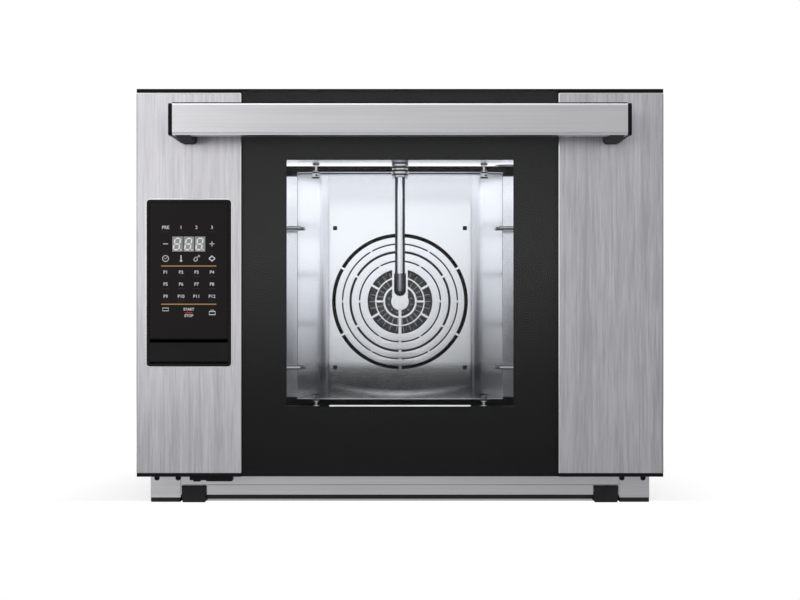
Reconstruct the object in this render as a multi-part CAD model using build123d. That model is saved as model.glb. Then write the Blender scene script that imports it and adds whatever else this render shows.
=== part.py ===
from build123d import *
import math
import os

os.makedirs("parts", exist_ok=True)

# Countertop convection oven with a full-width drop-down door, in millimetres.
# X is to the right, Y runs from the handle to the back, Z is up from the table.

# Cooking chamber
cavity_width = 480.0
cavity_height = 338.6
cavity_floor = 90.0
tray_room_depth = 350.0
fan_room_depth = 47.5
cavity_corner = 12.0
sheet = 1.0

# Body around the chamber
side_room = 55.0
top_room = 45.4
body_floor = 12.0
frame_bottom = 31.0
rear_insulation = 25.0
rear_room_depth = 86.0
rear_reach = 31.5
exhaust_rise = 26.0

# Door
door_thickness = 58.0
door_overhang = 5.0
door_bottom = 37.6
gasket_gap = 9.0
glass_width = 361.0
glass_thickness = 4.0
cap_height = 4.1
cover_sheet = 1.2
frame_wall = 2.5

# Handle
handle_reach = 60.0
handle_length = 511.4
handle_height = 35.2
handle_depth = 22.0
handle_drop = 22.6
handle_end = 4.4

# Control panel
panel_width = 96.0
panel_height = 189.6
panel_bottom = 163.5
flap_room = 29.0

# Fan, pipe and baffle
fan_height = 236.9
fan_radius = 88.0
shaft_radius = 6.0
baffle_half_width = 143.8
baffle_flat_half_width = 100.0
baffle_bottom_gap = 11.7
baffle_top_gap = 14.0
baffle_screw_x = 90.4
baffle_screw_rises = (-91.8, 102.2)
pipe_radius = 6.95
pipe_standoff = 9.5

# Trays and racks
tray_levels = 4
tray_pitch = 75.0
first_tray = 128.0
wire_radius = 2.5

# Hinges of the door
hinge_inset = 38.0
pivot_depth = 12.0
pivot_rise = 13.9
pin_radius = 4.0
arm_thickness = 6.0
cam_radius = 9.0
cam_lift = 5.0

# Clearances
running_clearance = 0.05
sliding_clearance = 0.3
seam = 0.3

# Planes that follow from the sizes above
body_width = cavity_width + 2 * side_room
door_width = body_width + 2 * door_overhang
overall_depth = (handle_reach + door_thickness + gasket_gap + tray_room_depth + fan_room_depth
                 + sheet + rear_insulation + rear_room_depth + sheet + rear_reach)
handle_front = -overall_depth / 2
door_front = handle_front + handle_reach
door_back = door_front + door_thickness
body_front = door_back + gasket_gap
baffle_front = body_front + tray_room_depth
wall_front = baffle_front + fan_room_depth
wall_back = wall_front + sheet
rear_room_front = wall_back + rear_insulation
panel_front = rear_room_front + rear_room_depth
body_back = panel_front + sheet
rear_end = body_back + rear_reach
cavity_half = cavity_width / 2
cavity_top = cavity_floor + cavity_height
body_half = body_width / 2
body_top = cavity_top + top_room
side_inner = body_half - sheet
door_half = door_width / 2
door_top = body_top + door_overhang
column_inner = glass_width / 2 + seam
column_middle = (column_inner + door_half) / 2
pivot_y = door_back - pivot_depth
pivot_z = door_bottom + pivot_rise
hinge_x = door_half - hinge_inset
pipe_y = baffle_front - pipe_standoff
frame_back = body_front + sheet
baffle_bottom = cavity_floor + baffle_bottom_gap
baffle_top = cavity_top - baffle_top_gap
baffle_screw_heights = [fan_height + rise for rise in baffle_screw_rises]
exhaust_top = body_top + exhaust_rise


def block(x, y, z):
    """A box between two x, two y and two z values."""
    low = [min(pair) for pair in (x, y, z)]
    size = [abs(pair[1] - pair[0]) for pair in (x, y, z)]
    middle = [low[i] + size[i] / 2 for i in range(3)]
    return Pos(*middle) * Box(*size)


def both(half, x):
    """The two x values mirrored to the left or right side."""
    return (half * x[0], half * x[1])


def rod_x(radius, x, y, z):
    """A round bar along X between two x values."""
    return Pos((x[0] + x[1]) / 2, y, z) * Rot(0, 90, 0) * Cylinder(radius, abs(x[1] - x[0]))


def rod_y(radius, x, y, z):
    """A round bar along Y between two y values."""
    return Pos(x, (y[0] + y[1]) / 2, z) * Rot(90, 0, 0) * Cylinder(radius, abs(y[1] - y[0]))


def rod_z(radius, x, y, z):
    """A round bar along Z between two z values."""
    return Pos(x, y, (z[0] + z[1]) / 2) * Cylinder(radius, abs(z[1] - z[0]))


def along_y(sketch, y):
    """A flat outline in X and Z, thickened between two y values."""
    return extrude(Plane.XZ.offset(-max(y)) * sketch, amount=max(y) - min(y), dir=(0, -1, 0))


def along_x(sketch, x):
    """A flat outline in Y and Z, thickened between two x values."""
    return extrude(Plane.YZ.offset(min(x)) * sketch, amount=max(x) - min(x), dir=(1, 0, 0))


def rounded(x, z, radius):
    """A rounded rectangle in X and Z, placed between two x and two z values."""
    centre = Pos((x[0] + x[1]) / 2, (z[0] + z[1]) / 2)
    return centre * RectangleRounded(abs(x[1] - x[0]), abs(z[1] - z[0]), radius)


def bent_rod(points, bends, radius):
    """A round wire or tube outline along straight runs joined by tangent arcs."""
    path = FilletPolyline(*points, radius=bends)
    return sweep(Plane(path @ 0, z_dir=path % 0) * Circle(radius), path)


def joined(pieces):
    """All pieces fused into one shape."""
    pieces = list(pieces)
    return pieces[0] + pieces[1:] if len(pieces) > 1 else pieces[0]


def save(name, *shapes):
    """Write one node, as one solid or as a group of separate solids."""
    solids = [solid for shape in shapes for solid in shape.solids()]
    shape = solids[0] if len(solids) == 1 else Compound(solids)
    export_step(shape, f"parts/{name}.step")


# Cooking chamber: a folded wrapper closed by a back wall that carries the pegs for the baffle
rack_bar_x = cavity_half - 4.0
rack_bar_heights = (cavity_floor + 54.9, cavity_top - 89.4)
rack_front = body_front + 14.0
rack_back = baffle_front - wire_radius - 0.8
cradle_places = (rack_front + 45.0, rack_back - 60.0)
rack_play = wire_radius + sliding_clearance
peg_radius = 5.0
screw_radius = 2.5
leg_radius = 4.0
element_radius = fan_radius + 18.0
leg_x = 18.0
probe_place = (cavity_half - 70.0, cavity_top - 128.6)
probe_radius = 3.0
exhaust_radius = 20.0
exhaust_wall = 2.5
exhaust_place = (cavity_half - 90.0, (baffle_front + wall_front) / 2 + 1.0)
drain_y = body_front + 150.0
drain_bore = 9.0


def leg_height(x):
    """Height at which an element leg at x leaves the ring."""
    return fan_height + math.sqrt(element_radius ** 2 - x ** 2)


def cradle(side, y, height):
    """A welded hook on the side wall, open at the top, that holds a rack's bar."""
    inner = side * (rack_bar_x - 4.5)
    body = block((inner, side * cavity_half), (y - 4, y + 4), (height - 7, height + 2))
    slot = block(both(side, (rack_bar_x - rack_play, rack_bar_x + rack_play)), (y - 5, y + 5),
                 (height - rack_play, height + 3))
    return body - slot


shell_outline = rounded((-cavity_half - sheet, cavity_half + sheet),
                        (cavity_floor - sheet, cavity_top + sheet), cavity_corner + sheet)
mouth_outline = rounded((-cavity_half, cavity_half), (cavity_floor, cavity_top), cavity_corner)
cavity = along_y(shell_outline, (frame_back, wall_front))
cavity -= along_y(mouth_outline, (frame_back - 1, wall_front + 1))
cavity -= rod_z(pipe_radius, 0, pipe_y, (cavity_top - 1, cavity_top + sheet + 1))
cavity -= rod_z(exhaust_radius - exhaust_wall - 1, *exhaust_place, (cavity_top - 1, cavity_top + sheet + 1))
cavity -= rod_z(drain_bore, 0, drain_y, (cavity_floor - sheet - 1, cavity_floor + 1))
save("cavity", cavity)

wall_span = (wall_front - 1, wall_back + 1)
cavity_back = along_y(shell_outline, (wall_front, wall_back))
cavity_back -= rod_y(shaft_radius + 3, 0, wall_span, fan_height)
for x in (-leg_x, leg_x):
    cavity_back -= rod_y(leg_radius + sliding_clearance, x, wall_span, leg_height(x))
cavity_back -= rod_y(probe_radius, probe_place[0], wall_span, probe_place[1])
for peg_x in (-baffle_screw_x, baffle_screw_x):
    for peg_z in baffle_screw_heights:
        cavity_back += rod_y(peg_radius, peg_x, (baffle_front + sheet, wall_front), peg_z)
        cavity_back -= rod_y(screw_radius, peg_x, (baffle_front, baffle_front + 18), peg_z)
save("cavity_back_wall", cavity_back)
save("rack_hooks", *(cradle(side, place, height) for side in (-1, 1) for place in cradle_places
                     for height in rack_bar_heights))

# Wire racks, hung in the cradles, with their rear rods along the baffle
rail_inset = 8.0
rail_front = rack_front + 8.0
rail_back = rack_back - 8.0
rod_tip = 138.9
for side, name in ((-1, "rack_left"), (1, "rack_right")):
    bar_x = side * rack_bar_x
    rail_x = side * (rack_bar_x - rail_inset)
    tip_x = side * rod_tip
    bars = [bent_rod([(bar_x, rack_front, height), (bar_x, rack_back, height), (tip_x, rack_back, height)],
                     10.0, wire_radius) for height in rack_bar_heights]
    post_ends = (first_tray - 13.1, first_tray + (tray_levels - 1) * tray_pitch + 10.2)
    posts = [rod_z(wire_radius, bar_x, y, post_ends) for y in (rack_front + 8.0, rack_back - 30.0)]
    rails = []
    for level in range(tray_levels):
        height = first_tray + level * tray_pitch
        points = [(bar_x, rail_front, height), (rail_x, rail_front + 14, height),
                  (rail_x, rail_back - 36, height), (bar_x, rail_back - 22, height)]
        rails.append(bent_rod(points, 6.0, wire_radius))
    save(name, joined(bars + posts + rails))

# Pierced baffle in front of the fan, its edges bent back
slot_rings = (
    # inner radius, outer radius, first spoke angle, number of spokes, half width of a spoke
    (12.4, 20.6, 90.0, 1, 2.2),
    (23.6, 32.6, 0.0, 2, 1.5),
    (34.7, 45.0, 30.0, 6, 1.6),
    (55.4, 57.2, 0.0, 6, 1.6),
    (67.4, 70.4, 30.0, 6, 1.6),
    (79.1, 80.9, 0.0, 6, 1.6),
    (89.6, 94.5, 30.0, 6, 1.6),
)
pad_half_width = 11.0
wing_drop = 9.0
spoke_width = 4.4
nozzle_radius = 5.5
nozzle_height = fan_height + 15.8


def ring_slot(inner, outer, first, count, half):
    """One circle of curved slots, left whole at its spokes."""
    ring = Pos(0, fan_height) * (Circle(outer) - Circle(inner))
    for index in range(count):
        angle = math.radians(first + 360.0 / count * index)
        reach = (math.cos(angle) * outer, math.sin(angle) * outer)
        middle = Pos(reach[0] / 2, fan_height + reach[1] / 2)
        ring -= middle * Rot(0, 0, math.degrees(angle)) * Rectangle(outer + 2, 2 * half)
    return ring


def baffle_plate():
    """The bent sheet, before its holes."""
    flat = block((-baffle_flat_half_width, baffle_flat_half_width), (baffle_front, baffle_front + sheet),
                 (baffle_bottom, baffle_top))
    plate = flat
    for side in (-1, 1):
        outline = Polygon((side * baffle_flat_half_width, baffle_front),
                          (side * baffle_half_width, baffle_front + wing_drop),
                          (side * baffle_half_width, baffle_front + wing_drop + 12),
                          (side * (baffle_half_width - sheet), baffle_front + wing_drop + 12),
                          (side * (baffle_half_width - sheet), baffle_front + wing_drop + sheet),
                          (side * baffle_flat_half_width, baffle_front + sheet), align=None)
        plate += extrude(Plane.XY.offset(baffle_bottom) * outline, amount=baffle_top - baffle_bottom,
                         dir=(0, 0, 1))
    return plate


baffle = baffle_plate()
through = (baffle_front - 1, baffle_front + sheet + 1)
slots = joined(along_y(ring_slot(*ring), through) for ring in slot_rings)
slots -= block((-pad_half_width, pad_half_width), (baffle_front - 2, baffle_front + 5),
               (fan_height, fan_height + 46))
slots -= block((-spoke_width / 2, spoke_width / 2), (baffle_front - 2, baffle_front + 5),
               (fan_height - 100, fan_height + 100))
baffle -= slots
baffle -= rod_y(nozzle_radius + sliding_clearance, 0, through, nozzle_height)
for peg_x in (-baffle_screw_x, baffle_screw_x):
    for peg_z in baffle_screw_heights:
        baffle -= rod_y(screw_radius, peg_x, through, peg_z)

# Screws with square heads that hold the baffle on its pegs
screw_head = 5.6
baffle_screws = []
for peg_x in (-baffle_screw_x, baffle_screw_x):
    for peg_z in baffle_screw_heights:
        half_head = screw_head / 2
        head = block((peg_x - half_head, peg_x + half_head), (baffle_front - 1.6, baffle_front),
                     (peg_z - half_head, peg_z + half_head))
        baffle_screws.append(head + rod_y(screw_radius, peg_x, (baffle_front, baffle_front + 16), peg_z))
save("baffle_screws", *baffle_screws)

# Straps between the baffle's edges and the chamber's ceiling and floor
strap_x = 117.5
strap_half = 5.0
straps = []
strap_front = baffle_front + wing_drop * (strap_x - strap_half - baffle_flat_half_width) / (
    baffle_half_width - baffle_flat_half_width) - 2.0
for side in (-1, 1):
    span = both(side, (strap_x - strap_half, strap_x + strap_half))
    for edge, wall, inward in ((baffle_top, cavity_top, -1), (baffle_bottom, cavity_floor, 1)):
        upright = block(span, (strap_front - sheet, strap_front), (edge + 6 * inward, wall))
        foot = block(span, (strap_front - 12, strap_front), (wall + sheet * inward, wall))
        bolt = rod_z(3.2, side * strap_x, strap_front - 7, (wall + sheet * inward, wall + 4.5 * inward))
        tab = rod_y(2.0, side * strap_x, (strap_front, strap_front + 3.6), edge + 3.5 * inward)
        straps.append(upright + foot + bolt + tab)
        baffle -= rod_y(2.1, side * strap_x, (strap_front, strap_front + 9), edge + 3.5 * inward)
save("baffle_brackets", *straps)
save("fan_baffle", baffle)

# Heating element: three turns around the fan wheel, its two legs through the back wall
turn_places = (baffle_front + 14.0, baffle_front + 25.0, baffle_front + 36.0)
bridge_x = 40.0
leg_end = rear_room_front + 12
turns = [Pos(0, place, fan_height) * Rot(90, 0, 0) * Torus(element_radius, leg_radius - 0.4)
         for place in turn_places]
legs = [rod_y(leg_radius, x, (start, leg_end), leg_height(x))
        for x, start in ((-leg_x, turn_places[0]), (leg_x, turn_places[-1]))]
bridges = [rod_y(leg_radius, side * bridge_x, (turn_places[0], turn_places[-1]),
                 2 * fan_height - leg_height(bridge_x)) for side in (-1, 1)]
save("heating_element", joined(turns + legs + bridges))

# Fan wheel, motor shaft and nut
wheel_front = baffle_front + sheet + 6.0
wheel_back = wall_front - 6.0
hub_radius = 16.0
hub_front = wheel_front + 2.0
blade_count = 20
blade_inner = 30.0
blade_thickness = 1.6
blade_twist = 24.0
shaft_tip = wheel_front - 3.5
motor_length = 62.0
motor_plate_thickness = 3.0
motor_front = rear_room_front + motor_plate_thickness
motor_radius = 47.0
shaft_back = motor_front + 48.0
wheel = rod_y(fan_radius, 0, (wheel_back - 1.6, wheel_back), fan_height)
wheel += rod_y(hub_radius, 0, (hub_front, wheel_back), fan_height)
rim = rod_y(fan_radius, 0, (wheel_front, wheel_front + 1.6), fan_height)
rim -= rod_y(fan_radius - 12, 0, (wheel_front - 1, wheel_front + 3), fan_height)
wheel += rim
blade_length = fan_radius - 1.0 - blade_inner
blade_middle = blade_inner + blade_length / 2
blade = Box(blade_length, wheel_back - wheel_front - 1.6, blade_thickness)
for index in range(blade_count):
    turn = Rot(0, 360.0 / blade_count * index, 0) * Pos(blade_middle, 0, 0) * Rot(0, blade_twist, 0)
    wheel += Pos(0, (wheel_front + wheel_back) / 2, fan_height) * turn * blade
wheel -= rod_y(shaft_radius + 0.02, 0, (wheel_front - 5, wheel_back + 5), fan_height)
save("fan_wheel", wheel)
save("motor_shaft", rod_y(shaft_radius, 0, (shaft_tip, shaft_back), fan_height))
nut = along_y(Pos(0, fan_height) * RegularPolygon(10.5, 6), (hub_front - 5, hub_front))
nut -= rod_y(shaft_radius + 0.02, 0, (hub_front - 7, hub_front + 1), fan_height)
save("fan_nut", nut)

# Fan motor on its plate, which stands off the chamber's back wall
plate_half = 68.0
standoff_reach = 56.0
plate = along_y(Pos(0, fan_height) * RectangleRounded(2 * plate_half, 2 * plate_half, 8),
                (rear_room_front, motor_front))
plate -= rod_y(shaft_radius + 4, 0, (rear_room_front - 1, motor_front + 1), fan_height)
for x in (-standoff_reach, standoff_reach):
    for z in (fan_height - standoff_reach, fan_height + standoff_reach):
        plate += rod_y(5.0, x, (wall_back, rear_room_front), z)
        plate += rod_y(4.0, x, (motor_front, motor_front + 3), z)
for x in (-leg_x, leg_x):
    plate -= block((x - 8, x + 8), (rear_room_front - 1, motor_front + 1),
                   (leg_height(x) - 50, leg_height(x) + 20))
save("motor_plate", plate)
motor = rod_y(motor_radius - 5, 0, (motor_front, motor_front + 10), fan_height)
motor += rod_y(motor_radius, 0, (motor_front + 10, motor_front + motor_length - 10), fan_height)
motor += rod_y(motor_radius - 8, 0, (motor_front + motor_length - 10, motor_front + motor_length),
               fan_height)
for index in range(16):
    fin = Pos(motor_radius - 1, 0, 0) * Box(6, motor_length - 30, 2)
    motor += Pos(0, motor_front + motor_length / 2, fan_height) * Rot(0, 22.5 * index, 0) * fin
motor -= rod_y(shaft_radius + running_clearance, 0, (motor_front - 1, shaft_back + 1), fan_height)
save("fan_motor", motor)

# Steam pipe: down from the ceiling, a thicker elbow, and a nozzle through the baffle
pipe_top = cavity_top + 24.0
elbow_radius = 8.3
elbow_top = nozzle_height + 23.0
pipe_bore = 4.5
pipe = rod_z(pipe_radius, 0, pipe_y, (nozzle_height, pipe_top))
pipe += rod_z(elbow_radius, 0, pipe_y, (nozzle_height, elbow_top))
pipe += Pos(0, pipe_y, nozzle_height) * Sphere(elbow_radius)
pipe += rod_y(elbow_radius, 0, (pipe_y, baffle_front), nozzle_height)
pipe += rod_y(nozzle_radius, 0, (pipe_y, baffle_front + 4), nozzle_height)
pipe -= rod_z(pipe_bore, 0, pipe_y, (nozzle_height, pipe_top - 6))
pipe -= Pos(0, pipe_y, nozzle_height) * Sphere(pipe_bore)
pipe -= rod_y(pipe_bore, 0, (pipe_y, baffle_front + 5), nozzle_height)
pipe -= rod_z(2.0, 0, pipe_y, (pipe_top - 7, pipe_top + 1))
save("steam_pipe", pipe)

# Collars on the pipe: one under the ceiling, one clamped at the baffle's top edge
collar_radius = 12.5
collars = []
for low, high in ((cavity_top - 5, cavity_top), (baffle_top - 5.5, baffle_top)):
    collar = rod_z(collar_radius, 0, pipe_y, (low, high))
    if high == baffle_top:
        collar = Pos(0, pipe_y, (low + high) / 2) * Box(2 * collar_radius, 2 * pipe_standoff, high - low)
    collars.append(collar - rod_z(pipe_radius, 0, pipe_y, (low - 1, high + 1)))
save("pipe_collars", *collars)

# Exhaust pipe, from the chamber's ceiling through the top panel
save("exhaust_pipe", rod_z(exhaust_radius, *exhaust_place, (cavity_top + sheet, exhaust_top))
     - rod_z(exhaust_radius - exhaust_wall, *exhaust_place, (cavity_top, exhaust_top + 1)))

# Drain: strainer in the chamber's floor, and a pipe that runs back to the rear
drain_radius = 11.0
drain_level = 43.0
drain_bend = 18.0
strainer_radius = 17.0
drain_points = [(0, drain_y, cavity_floor - sheet), (0, drain_y, drain_level), (0, rear_end, drain_level)]
drain_pipe = bent_rod(drain_points, drain_bend, drain_radius)
drain_pipe += rod_y(drain_radius + 1.5, 0, (body_back + 1.5, rear_end), drain_level)
save("drain_pipe", drain_pipe - bent_rod(drain_points, drain_bend, drain_bore))
strainer = rod_z(strainer_radius, 0, drain_y, (cavity_floor, cavity_floor + 1.2))
strainer += rod_z(drain_bore - sliding_clearance, 0, drain_y, (cavity_floor - sheet, cavity_floor))
strainer -= rod_z(2.0, 0, drain_y, (cavity_floor - 5, cavity_floor + 5))
for index in range(6):
    angle = math.radians(60 * index)
    strainer -= rod_z(1.6, 5.2 * math.cos(angle), drain_y + 5.2 * math.sin(angle),
                      (cavity_floor - 5, cavity_floor + 5))
save("drain_strainer", strainer)

# Temperature probe through the back wall, with its nut
probe_x, probe_z = probe_place
probe = rod_y(probe_radius, probe_x, (baffle_front + 14, rear_room_front + 8), probe_z)
probe += rod_y(8.0, probe_x, (wall_back, wall_back + 5), probe_z)
save("temperature_probe", probe)

# Insulation blanket around the chamber, cut out for what passes through it
blanket_half = cavity_half + 28.0
blanket_bottom = cavity_floor - 28.0
blanket_top = cavity_top + 33.0
blanket = block((-blanket_half, blanket_half), (frame_back, rear_room_front), (blanket_bottom, blanket_top))
blanket -= along_y(shell_outline, (frame_back - 1, wall_back))
blanket_span = (wall_back - 1, rear_room_front + 1)
blanket -= rod_y(shaft_radius + 8, 0, blanket_span, fan_height)
for x in (-leg_x, leg_x):
    blanket -= rod_y(leg_radius + 1, x, blanket_span, leg_height(x))
blanket -= rod_y(9.0, probe_x, blanket_span, probe_z)
for x in (-standoff_reach, standoff_reach):
    for z in (fan_height - standoff_reach, fan_height + standoff_reach):
        blanket -= rod_y(5.3, x, blanket_span, z)
blanket -= rod_z(pipe_radius + 3, 0, pipe_y, (cavity_top, blanket_top + 1))
blanket -= rod_z(exhaust_radius + 0.3, *exhaust_place, (cavity_top, blanket_top + 1))
blanket -= rod_z(drain_radius + 0.3, 0, drain_y, (blanket_bottom - 1, cavity_floor))
save("insulation", blanket)

# Front frame: the body's face plate around the chamber's mouth
arm_slot_half = arm_thickness / 2 + 0.3
neck_half = 7.0
sensor_place = (body_half - 13.0, cavity_top + 12.0)
rail_face = body_front + 6.5
front_frame = block((-body_half, body_half), (body_front, frame_back), (frame_bottom, body_top))
front_frame -= along_y(mouth_outline, (body_front - 1, frame_back + 1))
for side in (-1, 1):
    front_frame -= block(both(side, (hinge_x - arm_slot_half, hinge_x + arm_slot_half)),
                         (body_front - 1, frame_back + 1),
                         (pivot_z - neck_half - 0.3, pivot_z + neck_half + 0.3))
front_frame -= rod_y(5.1, sensor_place[0], (body_front - 1, frame_back + 1), sensor_place[1])
front_frame += block((-body_half + 36, body_half - 36), (frame_back, rail_face),
                     (frame_bottom, frame_bottom + sheet))
save("front_frame", front_frame)

# Door sensor: a small plunger switch in the front frame
save("door_sensor", rod_y(5.0, sensor_place[0], (body_front - 2, frame_back + 14), sensor_place[1])
     + rod_y(7.5, sensor_place[0], (frame_back, frame_back + 6), sensor_place[1])
     + rod_y(2.0, sensor_place[0], (door_back + 1.2, body_front - 2), sensor_place[1]))

# Gasket around the chamber's mouth
gasket_gap_to_mouth = 6.0
gasket_width = 10.0
gasket_inner = ((-cavity_half - gasket_gap_to_mouth, cavity_half + gasket_gap_to_mouth),
                (cavity_floor - gasket_gap_to_mouth, cavity_top + gasket_gap_to_mouth))
gasket_outer = tuple((low - gasket_width, high + gasket_width) for low, high in gasket_inner)
gasket_span = (door_back + sliding_clearance, body_front)
gasket = along_y(rounded(*gasket_outer, 24), gasket_span)
gasket = fillet(gasket.faces().sort_by(Axis.Y)[0].edges(), 3)
gasket -= along_y(rounded(*gasket_inner, 14), (door_back - 1, body_front + 1))
save("cavity_gasket", gasket)

# Hinge arms: fixed to the front frame, each with the cam that its door spring bears on
lobe_rise = cam_lift / (math.pi / 2)
arm_tail = body_front + 36.0


def cam_point(degrees):
    """A point of the cam's edge: its radius grows evenly from the top round to the front."""
    angle = math.radians(degrees)
    radius = cam_radius + lobe_rise * max(0.0, angle - math.pi / 2)
    return (pivot_y + radius * math.cos(angle), pivot_z + radius * math.sin(angle))


arms = []
for side in (-1, 1):
    lobe = [cam_point(90 + step * 15) for step in range(8)]
    cam_edge = Spline(*lobe)
    cam_close = Polyline(cam_edge @ 1, (pivot_y, pivot_z), cam_edge @ 0)
    cam = make_face([cam_edge, cam_close])
    span = both(side, (hinge_x - arm_thickness / 2, hinge_x + arm_thickness / 2))
    arm = along_x(cam, span) + rod_x(cam_radius, span, pivot_y, pivot_z)
    arm += block(span, (pivot_y, arm_tail), (pivot_z - neck_half, pivot_z + neck_half))
    arm -= rod_x(pin_radius + running_clearance, both(side, (hinge_x - 20, hinge_x + 20)), pivot_y, pivot_z)
    arm += block(both(side, (hinge_x - 12, hinge_x + 12)), (frame_back, frame_back + 3),
                 (pivot_z - neck_half - 4, pivot_z + neck_half))
    arms.append(arm)
save("hinge_arms", *arms)

# Base tray: floor, side walls and two hat rails that carry the chamber
tray_front = rail_face + sheet
base_sheet = sheet
leg_top = 37.0
hat_x = 165.0
base = block((-side_inner + sheet, side_inner - sheet), (tray_front, panel_front),
             (body_floor, body_floor + base_sheet))
base += block((-side_inner + sheet, side_inner - sheet), (tray_front, tray_front + sheet),
              (body_floor, leg_top))
for side in (-1, 1):
    base += block(both(side, (side_inner - sheet, side_inner)), (tray_front, panel_front),
                  (body_floor, leg_top))
    hat = block(both(side, (hat_x - 12, hat_x + 12)), (tray_front + 40, panel_front - 100),
                (body_floor + base_sheet, blanket_bottom))
    hat -= block(both(side, (hat_x - 12 + sheet, hat_x + 12 - sheet)), (tray_front, panel_front),
                 (body_floor + base_sheet - 1, blanket_bottom - sheet))
    base += hat
for side in (-1, 1):
    for index in range(12):
        x = side * (60 + 30 * (index % 3))
        y = tray_front + 130 + 45 * (index // 3)
        base -= block((x - 11, x + 11), (y, y + 5), (body_floor - 1, body_floor + base_sheet + 1))
save("base_tray", base)

# Front rail under the door, with a fold half way up and a rolled lower edge
plate_inner = body_half - 35.5
fold_height = 19.3
rail_bottom = 8.5
foot_half = 14.3
foot_x = body_half - 51.5
rail = block((-plate_inner, plate_inner), (rail_face, rail_face + sheet), (fold_height, leg_top))
rail += block((-plate_inner, plate_inner), (rail_face - sheet, rail_face),
              (rail_bottom, fold_height + sheet))
rail += block((-plate_inner, plate_inner), (rail_face - sheet, rail_face + 10),
              (rail_bottom, rail_bottom + sheet))
for side in (-1, 1):
    rail -= block(both(side, (foot_x - foot_half - 0.5, foot_x + foot_half + 0.5)),
                  (rail_face - 10, rail_face + 30), (0, fold_height + 0.4))
save("front_rail", rail)

# Corner plates: folded legs at the four corners, on rubber pads
pad_height = 5.3
leg_length = 40.0
corner_plates = []
pads = []
for side in (-1, 1):
    for y_front, y_back in ((rail_face - sheet, rail_face - sheet + leg_length),
                            (body_back - leg_length, body_back)):
        wide = both(side, (plate_inner, body_half))
        leg = block(wide, (y_front, y_back), (pad_height, pad_height + sheet))
        leg += block(both(side, (side_inner, body_half)), (y_front, y_back), (pad_height, leg_top))
        if y_front < 0:
            leg += block(wide, (y_front, y_front + sheet), (pad_height, leg_top))
        corner_plates.append(leg)
        pad = block(wide, (y_front, y_back), (0, pad_height))
        pads.append(fillet(pad.edges().filter_by(Axis.Z), 2))
corner_screws = ((body_half - 7.5, 28.6), (body_half - 32.5, 28.6))
corner_plates = [plate - joined(rod_y(2.0, side * x, (rail_face - 5, rail_face + 3), z)
                                for side in (-1, 1) for x, z in corner_screws) for plate in corner_plates]
save("corner_plates", *corner_plates)
save("corner_pads", *pads)

# Moulded feet, the front pair with a lip that shows in front of the rail
feet = []
foot_front = body_front + 1.5
foot_taper = 0.8
for side in (-1, 1):
    outline = Polygon((side * (foot_x - foot_half), fold_height), (side * (foot_x + foot_half), fold_height),
                      (side * (foot_x + foot_half - foot_taper), 0),
                      (side * (foot_x - foot_half + foot_taper), 0), align=None)
    foot = along_y(outline, (foot_front, foot_front + leg_length))
    foot -= block(both(side, (foot_x - 40, foot_x + 40)), (rail_face, foot_front + 60), (body_floor, 40))
    feet.append(foot)
    back = rod_z(15.0, side * foot_x, body_back - 30, (0, body_floor))
    feet.append(chamfer(back.edges().sort_by(Axis.Z)[0], 2))
save("feet", *feet)

# Outer panels with their vents, and the screws that hold them
screw_head_radius = 3.6
screw_head_height = 2.0
shank_radius = 2.0
panel_screw_hole = 2.1
valve_x = body_half - 60.0
valve_z = body_top - 89.0
thread_radius = 13.2
gland_x = -body_half + 60.0
gland_z = 62.0
gland_radius = 10.0
reset_x = -body_half + 95.0
reset_z = body_top - 79.0
cooling_x = body_half - 120.0
cooling_z = 118.0
cooling_half = 46.0
side_rows = (leg_top + 14, body_top - 16)
side_places = [(y, z) for y in (frame_back + 22, (frame_back + body_back) / 2, body_back - 18)
               for z in side_rows]
back_places = [(x, z) for x in (-body_half + 16, -100, 100, body_half - 16) for z in side_rows]
top_places = [(x, y) for x in (-body_half + 16, body_half - 16)
              for y in (frame_back + 22, (frame_back + body_back) / 2, body_back - 18)]
screws = []
side_panels = []
for side in (-1, 1):
    panel = block(both(side, (side_inner, body_half)), (frame_back, body_back), (leg_top, body_top - sheet))
    for index in range(9):
        height = 80.0 + 14.0 * index
        panel -= block(both(side, (side_inner - 1, body_half + 1)),
                       (rear_room_front + 14, panel_front - 14), (height, height + 4))
    for y, z in side_places:
        panel -= rod_x(panel_screw_hole, both(side, (side_inner - 1, body_half + 1)), y, z)
        screws.append(rod_x(screw_head_radius, both(side, (body_half, body_half + screw_head_height)), y, z)
                      + rod_x(shank_radius, both(side, (side_inner - 4, body_half)), y, z))
    side_panels.append(panel)
save("side_panels", *side_panels)

top_panel = block((-body_half, body_half), (frame_back, body_back), (body_top - sheet, body_top))
top_panel -= rod_z(exhaust_radius + sliding_clearance, *exhaust_place, (body_top - 5, body_top + 1))
for x, y in top_places:
    top_panel -= rod_z(panel_screw_hole, x, y, (body_top - 5, body_top + 1))
    screws.append(rod_z(screw_head_radius, x, y, (body_top, body_top + screw_head_height))
                  + rod_z(shank_radius, x, y, (body_top - sheet - 4, body_top)))
save("top_panel", top_panel)

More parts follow.
